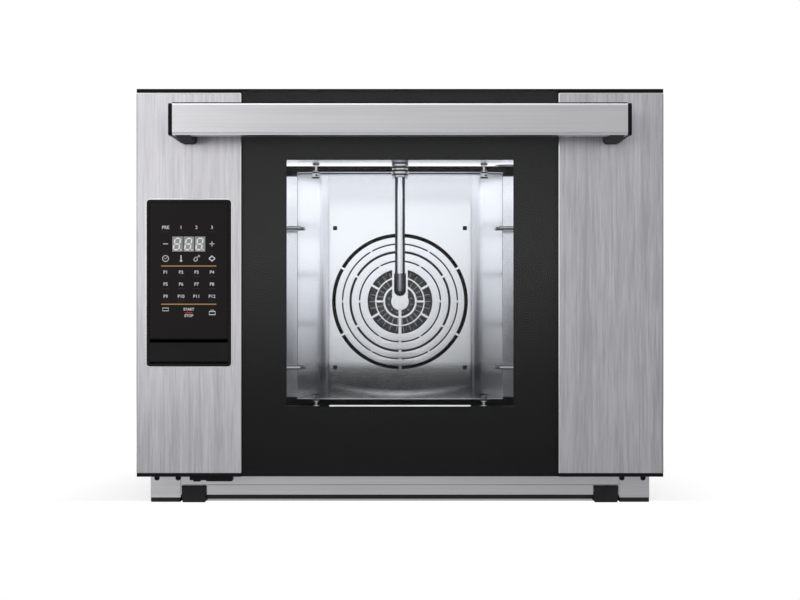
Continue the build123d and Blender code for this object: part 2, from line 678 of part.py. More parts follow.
back_span = (panel_front - 1, body_back + 1)
back_panel = block((-side_inner, side_inner), (panel_front, body_back), (body_floor, body_top - sheet))
back_panel -= rod_y(drain_radius + sliding_clearance, 0, back_span, drain_level)
back_panel -= rod_y(thread_radius + sliding_clearance, valve_x, back_span, valve_z)
back_panel -= rod_y(gland_radius + sliding_clearance / 3, gland_x, back_span, gland_z)
back_panel -= rod_y(5.3, reset_x, back_span, reset_z)
for index in range(9):
    height = cooling_z - 34 + 8.5 * index
    reach = math.sqrt((cooling_half - 6) ** 2 - (height - cooling_z) ** 2)
    back_panel -= block((cooling_x - reach, cooling_x + reach), back_span, (height - 2, height + 2))
for index in range(8):
    height = body_top - 174.0 + 12.0 * index
    back_panel -= block((-70, 70), back_span, (height - 2, height + 2))
for x, z in back_places:
    back_panel -= rod_y(panel_screw_hole, x, back_span, z)
    screws.append(rod_y(screw_head_radius, x, (body_back, body_back + screw_head_height), z)
                  + rod_y(shank_radius, x, (panel_front - 4, body_back), z))
save("back_panel", back_panel)
for side in (-1, 1):
    for x, z in corner_screws:
        screws.append(rod_y(3.2, side * x, (rail_face - sheet - 1.8, rail_face - sheet), z)
                      + rod_y(1.9, side * x, (rail_face - sheet, rail_face), z))
save("casing_screws", *screws)

# Water valve with its threaded inlet, and the tube to the steam pipe
valve_top = valve_z + 38.0
valve = block((valve_x - 18, valve_x + 18), (panel_front - 42, panel_front - 6),
              (valve_z - 18, valve_z + 18))
valve += rod_y(16.0, valve_x, (panel_front - 6, panel_front), valve_z)
valve += rod_y(thread_radius - 0.4, valve_x, (panel_front, body_back), valve_z)
valve += rod_y(thread_radius, valve_x, (body_back, rear_end - 8), valve_z)
valve -= rod_y(8.0, valve_x, (panel_front - 20, rear_end), valve_z)
valve += rod_z(11.0, valve_x, panel_front - 24, (valve_z + 18, valve_top))
valve += block((valve_x - 34, valve_x - 18), (panel_front - 38, panel_front - 10),
               (valve_z - 13, valve_z + 13))
save("water_valve", valve)
tube_level = (blanket_top + body_top - sheet) / 2
tube_y = panel_front - 24.0
tube_points = [(valve_x, tube_y, valve_top), (valve_x, tube_y, tube_level), (0, tube_y, tube_level),
               (0, pipe_y, tube_level), (0, pipe_y, pipe_top)]
tube_bends = [18.0, 24.0, 8.0]
save("water_tube", bent_rod(tube_points, tube_bends, 3.0) - bent_rod(tube_points, tube_bends, 1.8))

# Cable gland for the supply lead, which is not part of the oven
gland_bore = 6.5
gland = rod_y(gland_radius, gland_x, (panel_front - 10, body_back), gland_z)
gland += along_y(Pos(gland_x, gland_z) * RegularPolygon(15.0, 6), (body_back, body_back + 7))
gland += along_y(Pos(gland_x, gland_z) * RegularPolygon(15.0, 6), (panel_front - 6, panel_front))
dome = rod_y(12.0, gland_x, (body_back + 7, body_back + 20), gland_z)
gland += fillet(dome.edges().sort_by(Axis.Y)[-1], 4)
gland -= rod_y(gland_bore, gland_x, (panel_front - 20, rear_end), gland_z)
save("cable_gland", gland)

# Safety thermostat with its reset button through the back panel
thermostat = block((reset_x - 22, reset_x + 22), (panel_front - 30, panel_front),
                   (reset_z - 20, reset_z + 20))
thermostat += rod_y(5.0, reset_x, (panel_front, body_back + 5), reset_z)
save("safety_thermostat", thermostat)

# Power board on posts behind the chamber
board_x = (-body_half + 20.0, -body_half + 170.0)
board_z = (100.0, 255.0)
board_y = (panel_front - 10.6, panel_front - 9.0)
board = block(board_x, board_y, board_z)
for x in (board_x[0] + 6, board_x[1] - 6):
    for z in (board_z[0] + 6, board_z[1] - 6):
        board += rod_y(3.0, x, (board_y[1], panel_front), z)


def on_board(x, z, height):
    """A component block, its corners given from the board's lower left corner."""
    return block([board_x[0] + value for value in x], (board_y[0] - height, board_y[0]),
                 [board_z[0] + value for value in z])


board += on_board((13, 58), (96, 136), 34)
for index in range(4):
    board += on_board((70 + 18 * index, 84 + 18 * index), (105, 133), 16)
for index in range(3):
    board += rod_y(8.0, board_x[0] + 25 + 22 * index, (board_y[0] - 26, board_y[0]), board_z[0] + 60)
board += on_board((95, 140), (40, 80), 28)
board += on_board((13, 125), (8, 22), 14)
save("power_board", board)

# Cooling fan for the electronics: square frame with its hub on struts, and the blades
cooling_depth = 25.0
cooling_front = panel_front - cooling_depth
cooling_frame = block((cooling_x - cooling_half, cooling_x + cooling_half), (cooling_front, panel_front),
                      (cooling_z - cooling_half, cooling_z + cooling_half))
cooling_frame -= rod_y(cooling_half - 3, cooling_x, (cooling_front - 1, panel_front + 1), cooling_z)
strut_span = (panel_front - 3, panel_front)
cooling_frame += rod_y(18.0, cooling_x, strut_span, cooling_z)
cooling_frame += block((cooling_x - cooling_half, cooling_x + cooling_half), strut_span,
                       (cooling_z - 2, cooling_z + 2))
cooling_frame += block((cooling_x - 2, cooling_x + 2), strut_span,
                       (cooling_z - cooling_half, cooling_z + cooling_half))
cooling_frame += rod_y(2.5, cooling_x, (cooling_front + 4, panel_front - 3), cooling_z)
save("cooling_fan_frame", cooling_frame)
blades_span = (cooling_front + 2, panel_front - 4)
blades = rod_y(17.0, cooling_x, blades_span, cooling_z)
for index in range(7):
    vane = Rot(0, 360 / 7 * index, 0) * Pos(28.5, 0, 0) * Rot(38, 0, 0) * Box(25, 1.6, 20)
    blades += Pos(cooling_x, (blades_span[0] + blades_span[1]) / 2, cooling_z) * vane
blades -= rod_y(2.5 + running_clearance, cooling_x, (cooling_front, panel_front), cooling_z)
save("cooling_fan_blades", blades)

# Door frame: a pressed tray with a tunnel for the window and a pocket behind each column
glass_back = door_front + glass_thickness
frame_low = door_bottom + cap_height
frame_high = door_top - cap_height
frame_half = door_half - cover_sheet
inner_glass_half = 180.0
inner_glass_z = (door_bottom + 37.4, door_top - 34.0)
tunnel_half = inner_glass_half - 8.0
tunnel_z = (inner_glass_z[0] + 9.0, inner_glass_z[1] - 9.0)
pocket_inner = column_inner + 2.2
inner_glass_front = door_back - glass_thickness
back_wall = door_back - frame_wall
pocket_low = frame_low + frame_wall
pocket_high = frame_high - frame_wall
frame = block((-frame_half, frame_half), (glass_back, door_back), (frame_low, frame_high))
for side in (-1, 1):
    frame -= block(both(side, (pocket_inner, frame_half - frame_wall)), (glass_back - 1, back_wall),
                   (pocket_low, pocket_high))
    frame -= block(both(side, (tunnel_half + frame_wall, pocket_inner + 1)),
                   (glass_back + frame_wall, back_wall), (pocket_low, pocket_high))
    frame -= block(both(side, (hinge_x - arm_slot_half - 1, hinge_x + arm_slot_half + 1)),
                   (pivot_y - cam_radius - 9, door_back + 1), (frame_low - 1, pivot_z + cam_radius + 1))
for low, high in ((pocket_low, tunnel_z[0] - frame_wall), (tunnel_z[1] + frame_wall, pocket_high)):
    frame -= block((-tunnel_half, tunnel_half), (glass_back - 1, inner_glass_front - frame_wall),
                   (low, high))
frame -= block((-tunnel_half, tunnel_half), (glass_back - 1, door_back + 1), tunnel_z)
frame -= block((-inner_glass_half, inner_glass_half), (inner_glass_front, door_back + 1), inner_glass_z)
save("door_frame", frame)

# Door glass: an outer pane over the full height and an inner pane in the frame's recess
outer_glass = block((-glass_width / 2, glass_width / 2), (door_front, glass_back),
                    (door_bottom + 0.5, door_top - 0.5))
save("outer_glass", outer_glass)
inner_glass = block((-inner_glass_half + seam, inner_glass_half - seam), (inner_glass_front, door_back),
                    (inner_glass_z[0] + seam, inner_glass_z[1] - seam))
save("inner_glass", inner_glass)

# Clips that hold the inner pane, screwed to the door frame
clips = []
for side in (-1, 1):
    for height in (inner_glass_z[0] + 80, inner_glass_z[1] - 80):
        clip = block(both(side, (inner_glass_half - 7, inner_glass_half + 12)),
                     (door_back, door_back + 1.5), (height - 8, height + 8))
        clip = fillet(clip.edges().filter_by(Axis.Y), 3)
        clip += rod_y(3.4, side * (inner_glass_half + 6), (door_back + 1.5, door_back + 3.0), height)
        clips.append(clip)
save("glass_clips", *clips)

# Light bars beside the window, inside the door
bar_middle = (tunnel_z[0] + tunnel_z[1]) / 2
bar_half_height = tunnel_z[1] - bar_middle - 16.0
light_bars = []
for side in (-1, 1):
    light_bar = block(both(side, (tunnel_half - 14, tunnel_half)), (glass_back + 3, glass_back + 15),
                      (bar_middle - bar_half_height, bar_middle + bar_half_height))
    rear_edges = light_bar.edges().filter_by(Axis.Z).group_by(Axis.Y)[-1].sort_by(Axis.X)
    light_bars.append(chamfer(rear_edges[0 if side > 0 else -1], 5))
save("light_bars", *light_bars)

# Control panel: bezel in the left column's cover
panel_x = (-column_middle - panel_width / 2, -column_middle + panel_width / 2)
panel_z = (panel_bottom, panel_bottom + panel_height)
panel_proud = 1.5
panel_rim = 1.5
bezel_wall = 1.4
bezel_back = door_front + 12.5
touch_back = door_front + 0.9
body_x = (panel_x[0] + panel_rim + 0.2, panel_x[1] - panel_rim - 0.2)
body_z = (panel_z[0] + panel_rim + 0.2, panel_z[1] - panel_rim - 0.2)
inside_x = (body_x[0] + bezel_wall, body_x[1] - bezel_wall)
flap_z = (body_z[0] + bezel_wall, panel_bottom + flap_room - 1.8)
touch_z = (panel_bottom + flap_room + 2.2, body_z[1] - bezel_wall)
display_x = (-column_middle - 19.2, -column_middle + 19.2)
display_z = (panel_z[1] - 59.0, panel_z[1] - 41.8)
board_back = bezel_back + 2.5
bezel = along_y(rounded(panel_x, panel_z, 3.4), (door_front - panel_proud, door_front))
bezel += along_y(rounded(body_x, body_z, 2.0), (door_front, bezel_back))
bezel -= block(inside_x, (door_front - 5, touch_back), touch_z)
bezel -= block(inside_x, (door_front - 5, bezel_back - 1.5), flap_z)
bezel -= block((display_x[0] - sliding_clearance, display_x[1] + sliding_clearance),
               (door_front - 5, bezel_back + 1),
               (display_z[0] - sliding_clearance, display_z[1] + sliding_clearance))
flap_pin_y = door_front + 1.5
flap_pin_z = flap_z[0] + 4.3
flap_pin = 1.0
bezel -= rod_x(flap_pin + running_clearance, (body_x[0] - 1, body_x[1] + 1), flap_pin_y, flap_pin_z)
save("panel_bezel", bezel)
save("touch_panel", block((inside_x[0] + 0.2, inside_x[1] - 0.2), (door_front - 1.3, touch_back),
                          (touch_z[0] + 0.2, touch_z[1] - 0.2)))
save("digit_display", block(display_x, (touch_back, board_back), display_z))

# Cover flap under the touch panel, on two small pins
flap = block((inside_x[0] + sliding_clearance, inside_x[1] - sliding_clearance),
             (door_front - panel_proud, door_front + 0.5), (flap_z[0] + 1.5, flap_z[1] - 0.4))
flap = fillet(flap.edges().filter_by(Axis.X).group_by(Axis.Y)[0].sort_by(Axis.Z)[0], 1.8)
flap_span = (inside_x[0] + sliding_clearance, inside_x[1] - sliding_clearance)
flap += rod_x(1.8, flap_span, flap_pin_y, flap_pin_z)
flap += rod_x(flap_pin, (inside_x[0] - 1.2, inside_x[1] + 1.2), flap_pin_y, flap_pin_z)
save("panel_flap", flap)

# Control board behind the bezel, on posts
chips_back = board_back + 1.6
control = block((panel_x[0] + 4, panel_x[1] - 4), (board_back, chips_back),
                (panel_z[0] + 36, panel_z[1] - 5))
for x in (panel_x[0] + 8, panel_x[1] - 8):
    for z in (panel_z[0] + 40, panel_z[1] - 9):
        control += rod_y(3.0, x, (bezel_back, board_back), z)
for x, z, height in (((-10, 10), (66, 86), 2), ((-34, -20), (42, 62), 9), ((16, 34), (98, 136), 7)):
    control += block([value - column_middle for value in x], (chips_back, chips_back + height),
                     [value + panel_bottom for value in z])
save("control_board", control)

# Brushed steel covers of the two columns, folded round the door's sides
for side, name in ((-1, "left_door_cover"), (1, "right_door_cover")):
    cover = block(both(side, (column_inner, door_half)), (door_front, door_front + cover_sheet),
                  (frame_low, frame_high))
    cover += block(both(side, (door_half - cover_sheet, door_half)), (door_front, back_wall),
                   (frame_low, frame_high))
    cover += block(both(side, (column_inner, column_inner + cover_sheet)), (door_front, glass_back),
                   (frame_low, frame_high))
    if side < 0:
        cutout = rounded((panel_x[0] + panel_rim, panel_x[1] - panel_rim),
                         (panel_z[0] + panel_rim, panel_z[1] - panel_rim), 2.2)
        cover -= along_y(cutout, (door_front - 1, door_front + cover_sheet + 1))
    save(name, cover)

# Black caps along the door's top and bottom, cut back behind the glass
caps = []
for low, high in ((frame_high, door_top), (door_bottom, frame_low)):
    cap = block((-door_half, door_half), (door_front, door_back), (low, high))
    cap -= block((-glass_width / 2 - seam, glass_width / 2 + seam), (door_front - 1, glass_back),
                 (low - 1, high + 1))
    if low == door_bottom:
        for side in (-1, 1):
            cap -= block(both(side, (hinge_x - arm_slot_half - 1, hinge_x + arm_slot_half + 1)),
                         (pivot_y - cam_radius - 9, door_back + 1), (low - 1, high + 1))
    caps.append(cap)
save("door_caps", *caps)

# Guide for the panel's wiring under the door's left column
guide_front = door_front + 2.0
guide_back = guide_front + 20.0
guide_end = -column_inner - 10.8
guide_steps = (
    # distances of the two ends from the guide's inner end, and how far the step hangs down
    (29.4, 0.0, 5.5),
    (48.4, 29.4, 4.2),
    (44.2, 36.2, 5.8),
)
guide = joined(block((guide_end - far, guide_end - near), (guide_front, guide_back),
                     (door_bottom - drop, door_bottom)) for far, near, drop in guide_steps)
save("harness_guide", guide)

# Handle: a hollow bar between two moulded brackets
handle_top = door_top - handle_drop
handle_low = handle_top - handle_height
handle_back = handle_front + handle_depth
bar_half = handle_length / 2 - handle_end
bar_outline = Pos((handle_front + handle_back) / 2, (handle_low + handle_top) / 2) * RectangleRounded(
    handle_depth, handle_height, 3.0)
bar_hollow = Pos((handle_front + handle_back) / 2, (handle_low + handle_top) / 2) * RectangleRounded(
    handle_depth - 5, handle_height - 5, 1.5)
save("handle_bar", along_x(bar_outline - bar_hollow, (-bar_half, bar_half)))
foot_lean = 6.0
foot_sink = 5.0
brackets = []
for side in (-1, 1):
    end = along_x(bar_outline, both(side, (bar_half, handle_length / 2)))
    neck = rounded(both(side, (handle_length / 2 - 24, handle_length / 2)),
                   (handle_low + 1, handle_top - 2), 5)
    root = rounded(both(side, (handle_length / 2 - 25, handle_length / 2 - foot_lean)),
                   (handle_low - foot_sink, handle_top - 2), 5)
    foot = loft([Plane.XZ.offset(-handle_back) * neck, Plane.XZ.offset(-door_front) * root], ruled=True)
    ear = block(both(side, (bar_half, handle_length / 2)), (handle_back - 8, handle_back + 4),
                (handle_low + 6, handle_top - 6))
    brackets.append(end + foot + ear)
save("handle_brackets", *brackets)

# Hinge channels in the door: a folded channel with the pivot pin and two rod guides
channel_half = 9.0
channel_wall = 2.0
channel_y = (pivot_y - 18.0, back_wall)
channel_z = (frame_low + frame_wall, pivot_z + 198.5)
rod_radius = 3.0
collar_z = (pivot_z + 44.5, pivot_z + 48.5)
guide_low = (pivot_z + 26.5, pivot_z + 30.5)
guide_high = (pivot_z + 144.5, pivot_z + 148.5)
channels = []
rods = []
springs = []
for side in (-1, 1):
    x = side * hinge_x
    channel = block((x - channel_half, x + channel_half), channel_y, channel_z)
    channel -= block((x - channel_half + channel_wall, x + channel_half - channel_wall),
                     (channel_y[0] + channel_wall, channel_y[1] + 1), (channel_z[0] - 1, channel_z[1] + 1))
    channel += rod_x(pin_radius, (x - channel_half - 2, x + channel_half + 2), pivot_y, pivot_z)
    for low, high in (guide_low, guide_high):
        guide_plate = block((x - channel_half + channel_wall, x + channel_half - channel_wall),
                            (channel_y[0] + channel_wall, channel_y[1]), (low, high))
        channel += guide_plate
        channel -= rod_z(rod_radius + sliding_clearance, x, pivot_y, (low - 1, high + 1))
    channels.append(channel)
    nose = pivot_z + cam_radius + 0.5 + rod_radius
    rod = rod_z(rod_radius, x, pivot_y, (nose, guide_high[1] + 14))
    rod += Pos(x, pivot_y, nose) * Sphere(rod_radius)
    rods.append(rod + rod_z(5.8, x, pivot_y, collar_z))
    spring_low = collar_z[1] + 1.0
    spring_high = guide_high[0] - 1.0
    coil = Helix(pitch=5.9, height=spring_high - spring_low, radius=5.0)
    wire = sweep(Plane(coil @ 0, z_dir=coil % 0) * Circle(0.8), coil, is_frenet=True)
    springs.append(Pos(x, pivot_y, spring_low) * wire)
save("hinge_channels", *channels)
save("spring_rods", *rods)
save("door_springs", *springs)
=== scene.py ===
import math

import bmesh
import bpy
from mathutils import Matrix, Vector


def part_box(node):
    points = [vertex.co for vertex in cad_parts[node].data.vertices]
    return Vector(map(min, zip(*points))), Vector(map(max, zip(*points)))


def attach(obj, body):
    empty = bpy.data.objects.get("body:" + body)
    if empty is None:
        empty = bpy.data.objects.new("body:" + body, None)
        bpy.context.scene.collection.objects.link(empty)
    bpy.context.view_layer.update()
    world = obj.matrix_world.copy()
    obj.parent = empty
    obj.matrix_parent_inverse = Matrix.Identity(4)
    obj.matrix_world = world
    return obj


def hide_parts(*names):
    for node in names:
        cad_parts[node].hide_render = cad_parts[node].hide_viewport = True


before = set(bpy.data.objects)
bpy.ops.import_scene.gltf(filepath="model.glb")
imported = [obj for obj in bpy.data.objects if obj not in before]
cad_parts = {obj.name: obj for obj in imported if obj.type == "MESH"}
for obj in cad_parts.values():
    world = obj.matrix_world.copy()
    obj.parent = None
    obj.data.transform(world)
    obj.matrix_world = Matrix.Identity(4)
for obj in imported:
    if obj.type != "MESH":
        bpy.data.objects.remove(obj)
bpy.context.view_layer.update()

# The studio: the camera stands level in front of the oven, a little above its middle, as in the photo.
# The surround is white. A pale slab carries the oven and ends under its front, so that the open door
# and its handle hang free of it.
scene = bpy.context.scene
scene.view_settings.view_transform = "Standard"
photo_width = 800
door_plane = -0.2745
camera_distance = 1.863
camera_height = 0.239
pixels_per_metre = 878.0
sensor_width = 36.0
camera_data = bpy.data.cameras.new("photo_camera")
camera_data.sensor_width = sensor_width
camera_data.lens = pixels_per_metre * camera_distance / photo_width * sensor_width
camera = bpy.data.objects.new("photo_camera", camera_data)
camera.location = (0.0, door_plane - camera_distance, camera_height)
camera.rotation_euler = (math.radians(90), 0.0, 0.0)
scene.collection.objects.link(camera)
scene.camera = camera


class Reading:
    """What one shader node gives, as a value that can be added, scaled or taken from another."""

    def __init__(self, finish, socket):
        self.finish = finish
        self.socket = socket

    def __add__(self, other):
        return self.finish.calculate("ADD", self, other)

    def __sub__(self, other):
        return self.finish.calculate("SUBTRACT", self, other)

    def __rsub__(self, other):
        return self.finish.calculate("SUBTRACT", other, self)

    def __mul__(self, other):
        return self.finish.calculate("MULTIPLY", self, other)

    def __gt__(self, other):
        return self.finish.calculate("GREATER_THAN", self, other)

    __radd__ = __add__
    __rmul__ = __mul__


class Finish:
    """A material, or the surround, with its nodes."""

    def __init__(self, name, tree=None):
        if tree is None:
            self.material = bpy.data.materials.new(name)
            self.material.use_nodes = True
            tree = self.material.node_tree
        self.tree = tree
        tree.nodes.clear()

    def node(self, kind, settings=None, values=(), output=0):
        """One node of the tree, its settings made before its sockets are filled or linked."""
        made = self.tree.nodes.new("ShaderNode" + kind)
        for name, value in (settings or {}).items():
            if name == "stops":
                ramp = made.color_ramp
                while len(ramp.elements) < len(value):
                    ramp.elements.new(0.5)
                for element, (place, shade) in zip(ramp.elements, value):
                    element.position = place
                    element.color = (*shade, 1.0) if isinstance(shade, tuple) else (shade, shade, shade, 1.0)
            else:
                setattr(made, name, value)
        for key, value in (values.items() if isinstance(values, dict) else enumerate(values)):
            if isinstance(value, Reading):
                self.tree.links.new(value.socket, made.inputs[key])
            else:
                made.inputs[key].default_value = value
        return Reading(self, made.outputs[output]) if made.outputs else None

    def calculate(self, operation, *values):
        """A sum or other reckoning of values."""
        return self.node("Math", {"operation": operation}, values)

    def mix(self, share, first, second):
        """A colour between two others."""
        colours = [(*c, 1.0) if isinstance(c, tuple) else c for c in (first, second)]
        return self.node("Mix", {"data_type": "RGBA"}, {0: share, 6: colours[0], 7: colours[1]}, output=2)

    def point(self, *scale):
        """The place on the piece, each direction scaled by its own number per metre."""
        place = self.node("TexCoord", output="Object")
        return self.node("VectorMath", {"operation": "MULTIPLY"}, (place, scale))

    def coordinate(self, vector, axis):
        """One coordinate of a vector."""
        return self.node("SeparateXYZ", None, (vector,), output=axis)

    def place(self, axis):
        """The place on the piece along one axis, in metres."""
        return self.coordinate(self.point(1.0, 1.0, 1.0), axis)

    def noise(self, scale, detail=2.0, roughness=0.5):
        """A cloudy pattern from 0 to 1. The scale is a number per metre, or one for each direction."""
        scale = scale if isinstance(scale, tuple) else (scale, scale, scale)
        return self.node("TexNoise", None, {"Vector": self.point(*scale), "Scale": 1.0, "Detail": detail,
                                            "Roughness": roughness})

    def ramp(self, value, *stops):
        """The value read through a curve of shades or colours."""
        return self.node("ValToRGB", {"stops": stops}, {"Fac": value})

    def bump(self, height, strength, depth):
        """A fine relief of the given depth in metres."""
        return self.node("Bump", None, {"Height": height, "Strength": strength, "Distance": depth})

    def surface(self, **sockets):
        """The finished surface. A socket's name is written with underscores for its spaces."""
        values = {name.replace("_", " "): value for name, value in sockets.items()}
        for name in ("Base Color", "Emission Color"):
            if isinstance(values.get(name), tuple):
                values[name] = (*values[name], 1.0)
        shader = self.node("BsdfPrincipled", None, values)
        self.node("OutputMaterial", None, {"Surface": shader})
        return self


# The camera sees plain white. The pieces mirror a room whose light changes with height and from side
# to side.
world = bpy.data.worlds.new("surround")
world.use_nodes = True
scene.world = world
surround = Finish("surround", world.node_tree)
seen = (surround.node("LightPath", output="Is Camera Ray")
        + surround.node("LightPath", output="Is Transmission Ray"))
mirrored = surround.node("LightPath", output="Glossy Depth") > 0.5
across_room, up = (surround.coordinate(surround.node("TexCoord"), axis) for axis in "XZ")
room_light = 0.62
height_light = surround.ramp(up * 0.5 + 0.5, (0.0, 0.46), (0.40, 0.48), (0.470, 0.31), (0.506, 0.66),
                             (0.6, 0.62), (1.0, 0.95))
side_light = surround.ramp(across_room * 0.5 + 0.5, (0.0, 0.8), (0.38, 0.85), (0.44, 1.16), (0.48, 1.36),
                           (0.53, 1.26), (0.56, 0.79), (0.62, 0.56), (1.0, 0.7))
level = surround.node("Mix", {"data_type": "FLOAT"}, {0: seen, 2: room_light, 3: 1.0})
level = surround.node("Mix", {"data_type": "FLOAT"}, {0: mirrored, 2: level, 3: height_light * side_light})
lit = surround.node("Background", None, {"Color": (1.0, 1.0, 1.0, 1.0), "Strength": level})
surround.node("OutputWorld", None, {"Surface": lit})

# The slab fades out towards its far edges.
slab_front, slab_back, slab_half = -0.19, 2.0, 2.0
slab_mesh = bpy.data.meshes.new("counter_slab")
slab_mesh.from_pydata([(-slab_half, slab_front, 0.0), (slab_half, slab_front, 0.0),
                       (slab_half, slab_back, 0.0), (-slab_half, slab_back, 0.0)], [], [(0, 1, 2, 3)])
slab = bpy.data.objects.new("counter_slab", slab_mesh)
scene.collection.objects.link(slab)
slab_finish = Finish("slab_white")
slab_glow = 0.3
matt = slab_finish.node("BsdfDiffuse", None, {"Color": (0.9, 0.9, 0.9, 1.0)})
looked_at = slab_finish.node("LightPath") + slab_finish.node("LightPath", output="Is Transmission Ray")
glow = slab_finish.node("Emission", None, {"Color": (1.0, 1.0, 1.0, 1.0), "Strength": looked_at * slab_glow})
both_shaders = slab_finish.node("AddShader", None, (matt, glow))
away = slab_finish.node("VectorMath", {"operation": "LENGTH"}, (slab_finish.point(1.0, 1.0, 1.0),),
                        output="Value")
fade = slab_finish.ramp(away * 0.5, (0.45, 0.0), (0.95, 1.0))
clear = slab_finish.node("BsdfTransparent")
slab_look = slab_finish.node("MixShader", None, (fade, both_shaders, clear))
slab_finish.node("OutputMaterial", None, {"Surface": slab_look})
slab_mesh.materials.append(slab_finish.material)


def softbox(name, place, aim, size, watts):
    """A rectangular lamp with a diffuser, turned to a point."""
    lamp_data = bpy.data.lights.new(name, "AREA")
    lamp_data.shape = "RECTANGLE"
    lamp_data.size, lamp_data.size_y = size
    lamp_data.energy = watts
    lamp = bpy.data.objects.new(name, lamp_data)
    lamp.location = place
    lamp.rotation_euler = (Vector(aim) - Vector(place)).to_track_quat("-Z", "Y").to_euler()
    lamp.visible_camera = False
    lamp.visible_transmission = False
    scene.collection.objects.link(lamp)
    return lamp


softbox("key_box", (-1.5, -2.6, 0.6), (0.0, -0.1, 0.25), (1.6, 1.2), 8.5)
softbox("fill_box", (2.2, -1.2, 1.2), (0.0, 0.0, 0.2), (1.2, 1.2), 8.0)
softbox("top_box", (-0.3, -0.2, 2.6), (0.0, 0.0, 0.25), (2.0, 2.0), 18.0)
softbox("back_box", (0.6, 2.6, 1.7), (0.0, 0.1, 0.25), (1.6, 1.2), 22.0)


# The base stands on four folded corner plates with rubber pads, and on moulded feet between them.
# Plates and rail are brushed stainless sheet, folded and screwed; the tray behind them is plain steel.
def dress(finish, *nodes):
    """Give CAD nodes their finish."""
    for node in nodes:
        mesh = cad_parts[node].data
        mesh.materials.clear()
        mesh.materials.append(finish.material)


def level_shading(piece):
    """Keep flat faces evenly shaded up to their rounded edges."""
    normals = piece.modifiers.new("even_shading", "WEIGHTED_NORMAL")
    normals.keep_sharp = True


def soften(width, *nodes):
    """Break the sharp edges of CAD nodes with a small round."""
    for node in nodes:
        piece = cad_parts[node]
        weld = piece.modifiers.new("weld", "WELD")
        weld.merge_threshold = 0.00002
        flats = piece.modifiers.new("whole_flats", "DECIMATE")
        flats.decimate_type = "DISSOLVE"
        flats.angle_limit = math.radians(0.5)
        bevel = piece.modifiers.new("soft_edges", "BEVEL")
        bevel.width = width
        bevel.segments = 2
        bevel.limit_method = "ANGLE"
        bevel.angle_limit = math.radians(40)
        level_shading(piece)


def finished_mesh(name, shape):
    """The mesh of a shape that is built."""
    mesh = bpy.data.meshes.new(name)
    shape.to_mesh(mesh)
    shape.free()
    return mesh


def merged(name, meshes):
    """Several meshes as one."""
    shape = bmesh.new()
    for mesh in meshes:
        shape.from_mesh(mesh)
    return finished_mesh(name, shape)


def place_piece(name, form, finish, body, slot, *stands_for):
    """Put a mesh, or a list of meshes as one, into the scene as a piece of the oven."""
    mesh = merged(name, form) if isinstance(form, list) else form
    mesh.materials.append(finish.material)
    piece = bpy.data.objects.new(name, mesh)
    scene.collection.objects.link(piece)
    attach(piece, body)
    if stands_for:
        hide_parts(*stands_for)
    return piece


def mottled(name, patches, dark, light, grain, span, least, relief=None, **sockets):
    """A surface shaded from dark to light by its patches, its roughness and relief given by its grain.

    Patches and grain hold the numbers of a noise. Without patches the grain gives the shade too. The
    roughness rises from the least by the span, and the relief holds a strength and a depth.
    """
    finish = Finish(name)
    fine = finish.noise(*grain)
    broad = finish.noise(*patches) if patches else fine
    if relief:
        sockets["Normal"] = finish.bump(fine, *relief)
    return finish.surface(Base_Color=finish.mix(broad, dark, light), Roughness=fine * span + least, **sockets)


def brushed(name, colour, roughness, grain, streaks, directed=0.0, softness=0.2):
    """Sheet steel with a fine brushed grain and broader streaks, each scaled by direction."""
    steel = Finish(name)
    fine = steel.noise(grain, 3.0, 0.65)
    broad = steel.noise(streaks, 2.0, 0.5)
    cloud = steel.noise(5.0, 2.0)
    tone = fine * 0.5 + broad * 0.32 + cloud * 0.18
    dark = tuple(value * 0.84 for value in colour)
    light = tuple(min(1.0, value * 1.14) for value in colour)
    shade = steel.mix(steel.ramp(tone, (0.5 - softness, 0.0), (0.5 + softness, 1.0)), dark, light)
    return steel.surface(Base_Color=shade, Metallic=1.0, Roughness=fine * 0.16 + (roughness - 0.08),
                         Anisotropic=directed, Normal=steel.bump(fine, 0.14, 0.0001))


def box_mesh(name, low, high, edge=0.0, segments=2):
    """A block between two corners with rounded edges."""
    shape = bmesh.new()
    bmesh.ops.create_cube(shape, size=1.0)
    low, high = Vector(low), Vector(high)
    for vert in shape.verts:
        vert.co = low + Vector((vert.co[i] + 0.5) * (high[i] - low[i]) for i in range(3))
    if edge > 0.0:
        bmesh.ops.bevel(shape, geom=shape.edges[:], offset=edge, segments=segments, affect="EDGES",
                        profile=0.5)
    return finished_mesh(name, shape)


base_steel = brushed("base_steel", (0.73, 0.73, 0.755), 0.32, (5.0, 800.0, 800.0), (1.5, 60.0, 60.0), -0.3)
rubber = mottled("black_rubber", (60.0,), (0.010, 0.010, 0.011), (0.022, 0.022, 0.023), (1400.0, 2.0, 0.6),
                 0.2, 0.52, (0.3, 0.0002), Specular_IOR_Level=0.35)
plain_steel = brushed("plain_steel", (0.55, 0.55, 0.56), 0.42, (300.0, 300.0, 6.0), (20.0, 20.0, 1.5))

dress(base_steel, "front_rail", "corner_plates")
soften(0.0005, "front_rail", "corner_plates")
dress(rubber, "corner_pads", "feet")
soften(0.0008, "corner_pads", "feet")
dress(plain_steel, "base_tray")

# A black rubber strip is clipped over the rail's lower edge between the feet; it is painted shade, standing
# for the shadow under the oven.
rail_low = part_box("front_rail")[0]
foot_inner = 0.2292
foot_gap = 0.001
strip_height = 0.0047
strip_proud = 0.0008
strip_depth = 0.0038
strip_half = foot_inner - foot_gap
strip = box_mesh("rail_shadow_strip", (-strip_half, rail_low.y - strip_proud, rail_low.z - strip_height),
                 (strip_half, rail_low.y - strip_proud + strip_depth, rail_low.z + 0.0002), 0.0006)
place_piece("rail_shadow_strip", strip, rubber, "body", "black_rubber")


